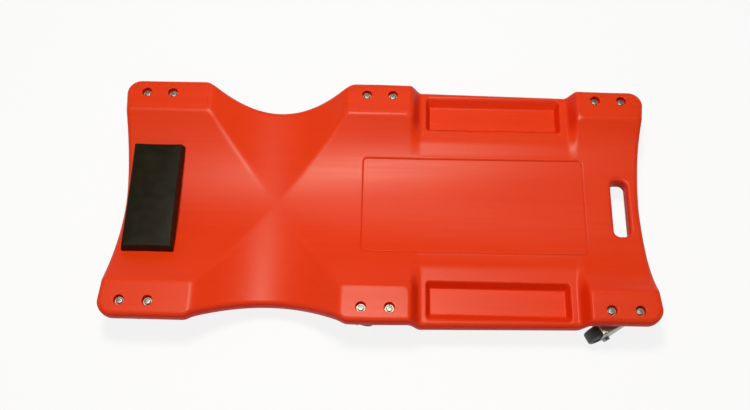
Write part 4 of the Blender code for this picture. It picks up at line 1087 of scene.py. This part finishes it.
def axle_nut_mesh():
    low, high = -FORK_OUTER - REST_GAP - AXLE_NUT_HEIGHT, -FORK_OUTER - REST_GAP
    shape = nut_shape(AXLE_HEAD_RADIUS, low, high, AXLE_RADIUS + NUT_BORE_GAP)
    return to_mesh("axle_nut_form", moved(shape, ALONG_AXLE), 35)


def bolt_mesh():
    """Pan head with a driver recess, washer, threaded shank and nut."""
    washer = PAD_Z - COUNTERBORE_DEPTH + REST_GAP
    head = washer + WASHER_THICKNESS
    top = head + BOLT_HEAD_HEIGHT
    dome = [(0, top), (BOLT_HEAD_RADIUS * PAN_FLAT_SHARE, top - PAN_SAG)]
    rounded = arc((0, top - PAN_ROUND_DROP), PAN_ROUND, 80, 0, 8)
    dome += [(BOLT_HEAD_RADIUS - PAN_ROUND + x, z) for x, z in rounded]
    dome += [(BOLT_HEAD_RADIUS, head), (0, head)]
    recess = moved(cross_cutter(*BOLT_RECESS), Matrix.Translation((0, 0, top)))
    pan = shape_of(finished("pan", lathe(dome, 40), [("DIFFERENCE", recess)]))
    disc = [(0, head), (WASHER_RADIUS - WASHER_EDGE, head), (WASHER_RADIUS, head - WASHER_EDGE)]
    disc += [(WASHER_RADIUS, washer + WASHER_EDGE), (WASHER_RADIUS - WASHER_EDGE, washer), (0, washer)]
    top_of_nut = PLATE_UNDER - REST_GAP
    low = top_of_nut - BOLT_NUT_HEIGHT
    shank = threaded(BOLT_RADIUS, low - THREAD_PAST_NUT, washer)
    nut = nut_shape(BOLT_NUT_RADIUS, low, top_of_nut, 0.0)
    return to_mesh("caster_bolt_form", joined(pan, lathe(disc, 40), shank, nut), 35)


def make_casters():
    plate, ring, pin, fork = plate_mesh(), ball_ring_mesh(), kingpin_mesh(), fork_mesh()
    wheel, axle, nut, bolt = wheel_mesh(), axle_mesh(), axle_nut_mesh(), bolt_mesh()
    for number, (stem, side, place, turn) in enumerate(caster_places()):
        node = f"caster_{stem}"
        seat = Matrix.Translation(place)
        swivel = seat @ Matrix.Rotation(turn, 4, "Z")
        hub = swivel @ Matrix.Translation((-CASTER_TRAIL, 0, AXLE_Z))
        outward = hub @ Matrix.Rotation(0.0 if side == "left" else math.pi, 4, "Z")
        spun = hub @ Matrix.Rotation(math.pi / 2 * number, 4, "Y")
        dress(f"{node}_plate", plate, "zinc_plate", "deck_body", seat)
        dress(f"{node}_ball_ring", ring, "bearing_steel", "deck_body", seat)
        dress(f"{node}_kingpin", pin, "bright_zinc", "deck_body", seat)
        for count, along in enumerate((-1, 1), 1):
            drive = Matrix.Rotation(0.9 * number + 0.5 * count, 4, "Z")
            spot = seat @ Matrix.Translation((along * BOLT_SPACING / 2, 0, 0)) @ drive
            dress(f"{node}_bolt_{count}", bolt, "bright_zinc", "deck_body", spot)
        dress(f"{node}_fork", fork, "zinc_plate", f"{stem}_fork", swivel)
        dress(f"{node}_axle", axle, "bright_zinc", f"{stem}_fork", outward)
        dress(f"{node}_axle_nut", nut, "bright_zinc", f"{stem}_fork", outward)
        dress(f"{node}_wheel", wheel, "black_wheel", f"{stem}_wheel", spun)


# Floor, light and camera


def seen_as_white(tree, surface, share):
    """Mixes a white glow into a surface as the camera, gloss and glass see it, and leaves its light alone."""
    nodes, links = tree.nodes, tree.links
    path = nodes.new("ShaderNodeLightPath")
    seen = path.outputs["Is Camera Ray"]
    for ray in ("Is Glossy Ray", "Is Transmission Ray"):
        most = nodes.new("ShaderNodeMath")
        most.operation = "MAXIMUM"
        links.new(seen, most.inputs[0])
        links.new(path.outputs[ray], most.inputs[1])
        seen = most.outputs[0]
    part = nodes.new("ShaderNodeMath")
    part.operation = "MULTIPLY"
    part.inputs[1].default_value = share
    links.new(seen, part.inputs[0])
    glow = nodes.new("ShaderNodeEmission")
    glow.inputs["Color"].default_value = (1, 1, 1, 1)
    glow.inputs["Strength"].default_value = 1.0
    blend = nodes.new("ShaderNodeMixShader")
    links.new(part.outputs[0], blend.inputs[0])
    links.new(surface, blend.inputs[1])
    links.new(glow.outputs[0], blend.inputs[2])
    return blend.outputs[0]


def make_stage():
    sheet = {"x_subdivisions": 2, "y_subdivisions": 2, "size": FLOOR_SIZE}
    bpy.ops.mesh.primitive_grid_add(location=(0, 0, FLOOR_Z), **sheet)
    floor = bpy.context.object
    floor.name = "floor"
    ring = {"vertices": 96, "radius": WALL_RADIUS, "depth": WALL_HEIGHT, "end_fill_type": "NOTHING"}
    bpy.ops.mesh.primitive_cylinder_add(location=(0, 0, WALL_MIDDLE), **ring)
    wall = bpy.context.object
    wall.name = "wall"
    material = bpy.data.materials.new("pale_floor")
    material.use_nodes = True
    tree = material.node_tree
    shader = tree.nodes["Principled BSDF"]
    shader.inputs["Base Color"].default_value = (FLOOR_GREY, FLOOR_GREY, FLOOR_GREY, 1)
    shader.inputs["Roughness"].default_value = 0.9
    surface = seen_as_white(tree, shader.outputs[0], WHITE_SHARE)
    tree.links.new(surface, tree.nodes["Material Output"].inputs["Surface"])
    for piece in (floor, wall):
        piece.data.materials.append(material)


def add_lamp(name, at, size, power, colour=(1, 1, 1)):
    data = bpy.data.lights.new(name, "AREA")
    data.shape = "RECTANGLE"
    data.size, data.size_y = size
    data.energy = power
    data.color = colour
    lamp = bpy.data.objects.new(name, data)
    bpy.context.scene.collection.objects.link(lamp)
    lamp.location = at
    lamp.rotation_euler = (Vector(LIGHT_AIM) - Vector(at)).to_track_quat("-Z", "Y").to_euler()


def make_light():
    world = bpy.data.worlds.new("studio")
    bpy.context.scene.world = world
    world.use_nodes = True
    tree = world.node_tree
    sky = tree.nodes["Background"]
    sky.inputs["Color"].default_value = (1, 1, 1, 1)
    sky.inputs["Strength"].default_value = SKY_STRENGTH
    add_lamp("overhead", **OVERHEAD)
    add_lamp("front", **FRONT)


def make_camera():
    data = bpy.data.cameras.new("photo_view")
    data.lens = CAMERA_LENS
    data.sensor_width = CAMERA_SENSOR
    camera = bpy.data.objects.new("photo_view", data)
    bpy.context.scene.collection.objects.link(camera)
    camera.location = CAMERA_AT
    camera.rotation_euler = CAMERA_TURN
    bpy.context.scene.camera = camera


bpy.context.scene.view_settings.view_transform = "Standard"
make_camera()
make_deck()
make_headrest()
make_casters()
make_stage()
make_light()
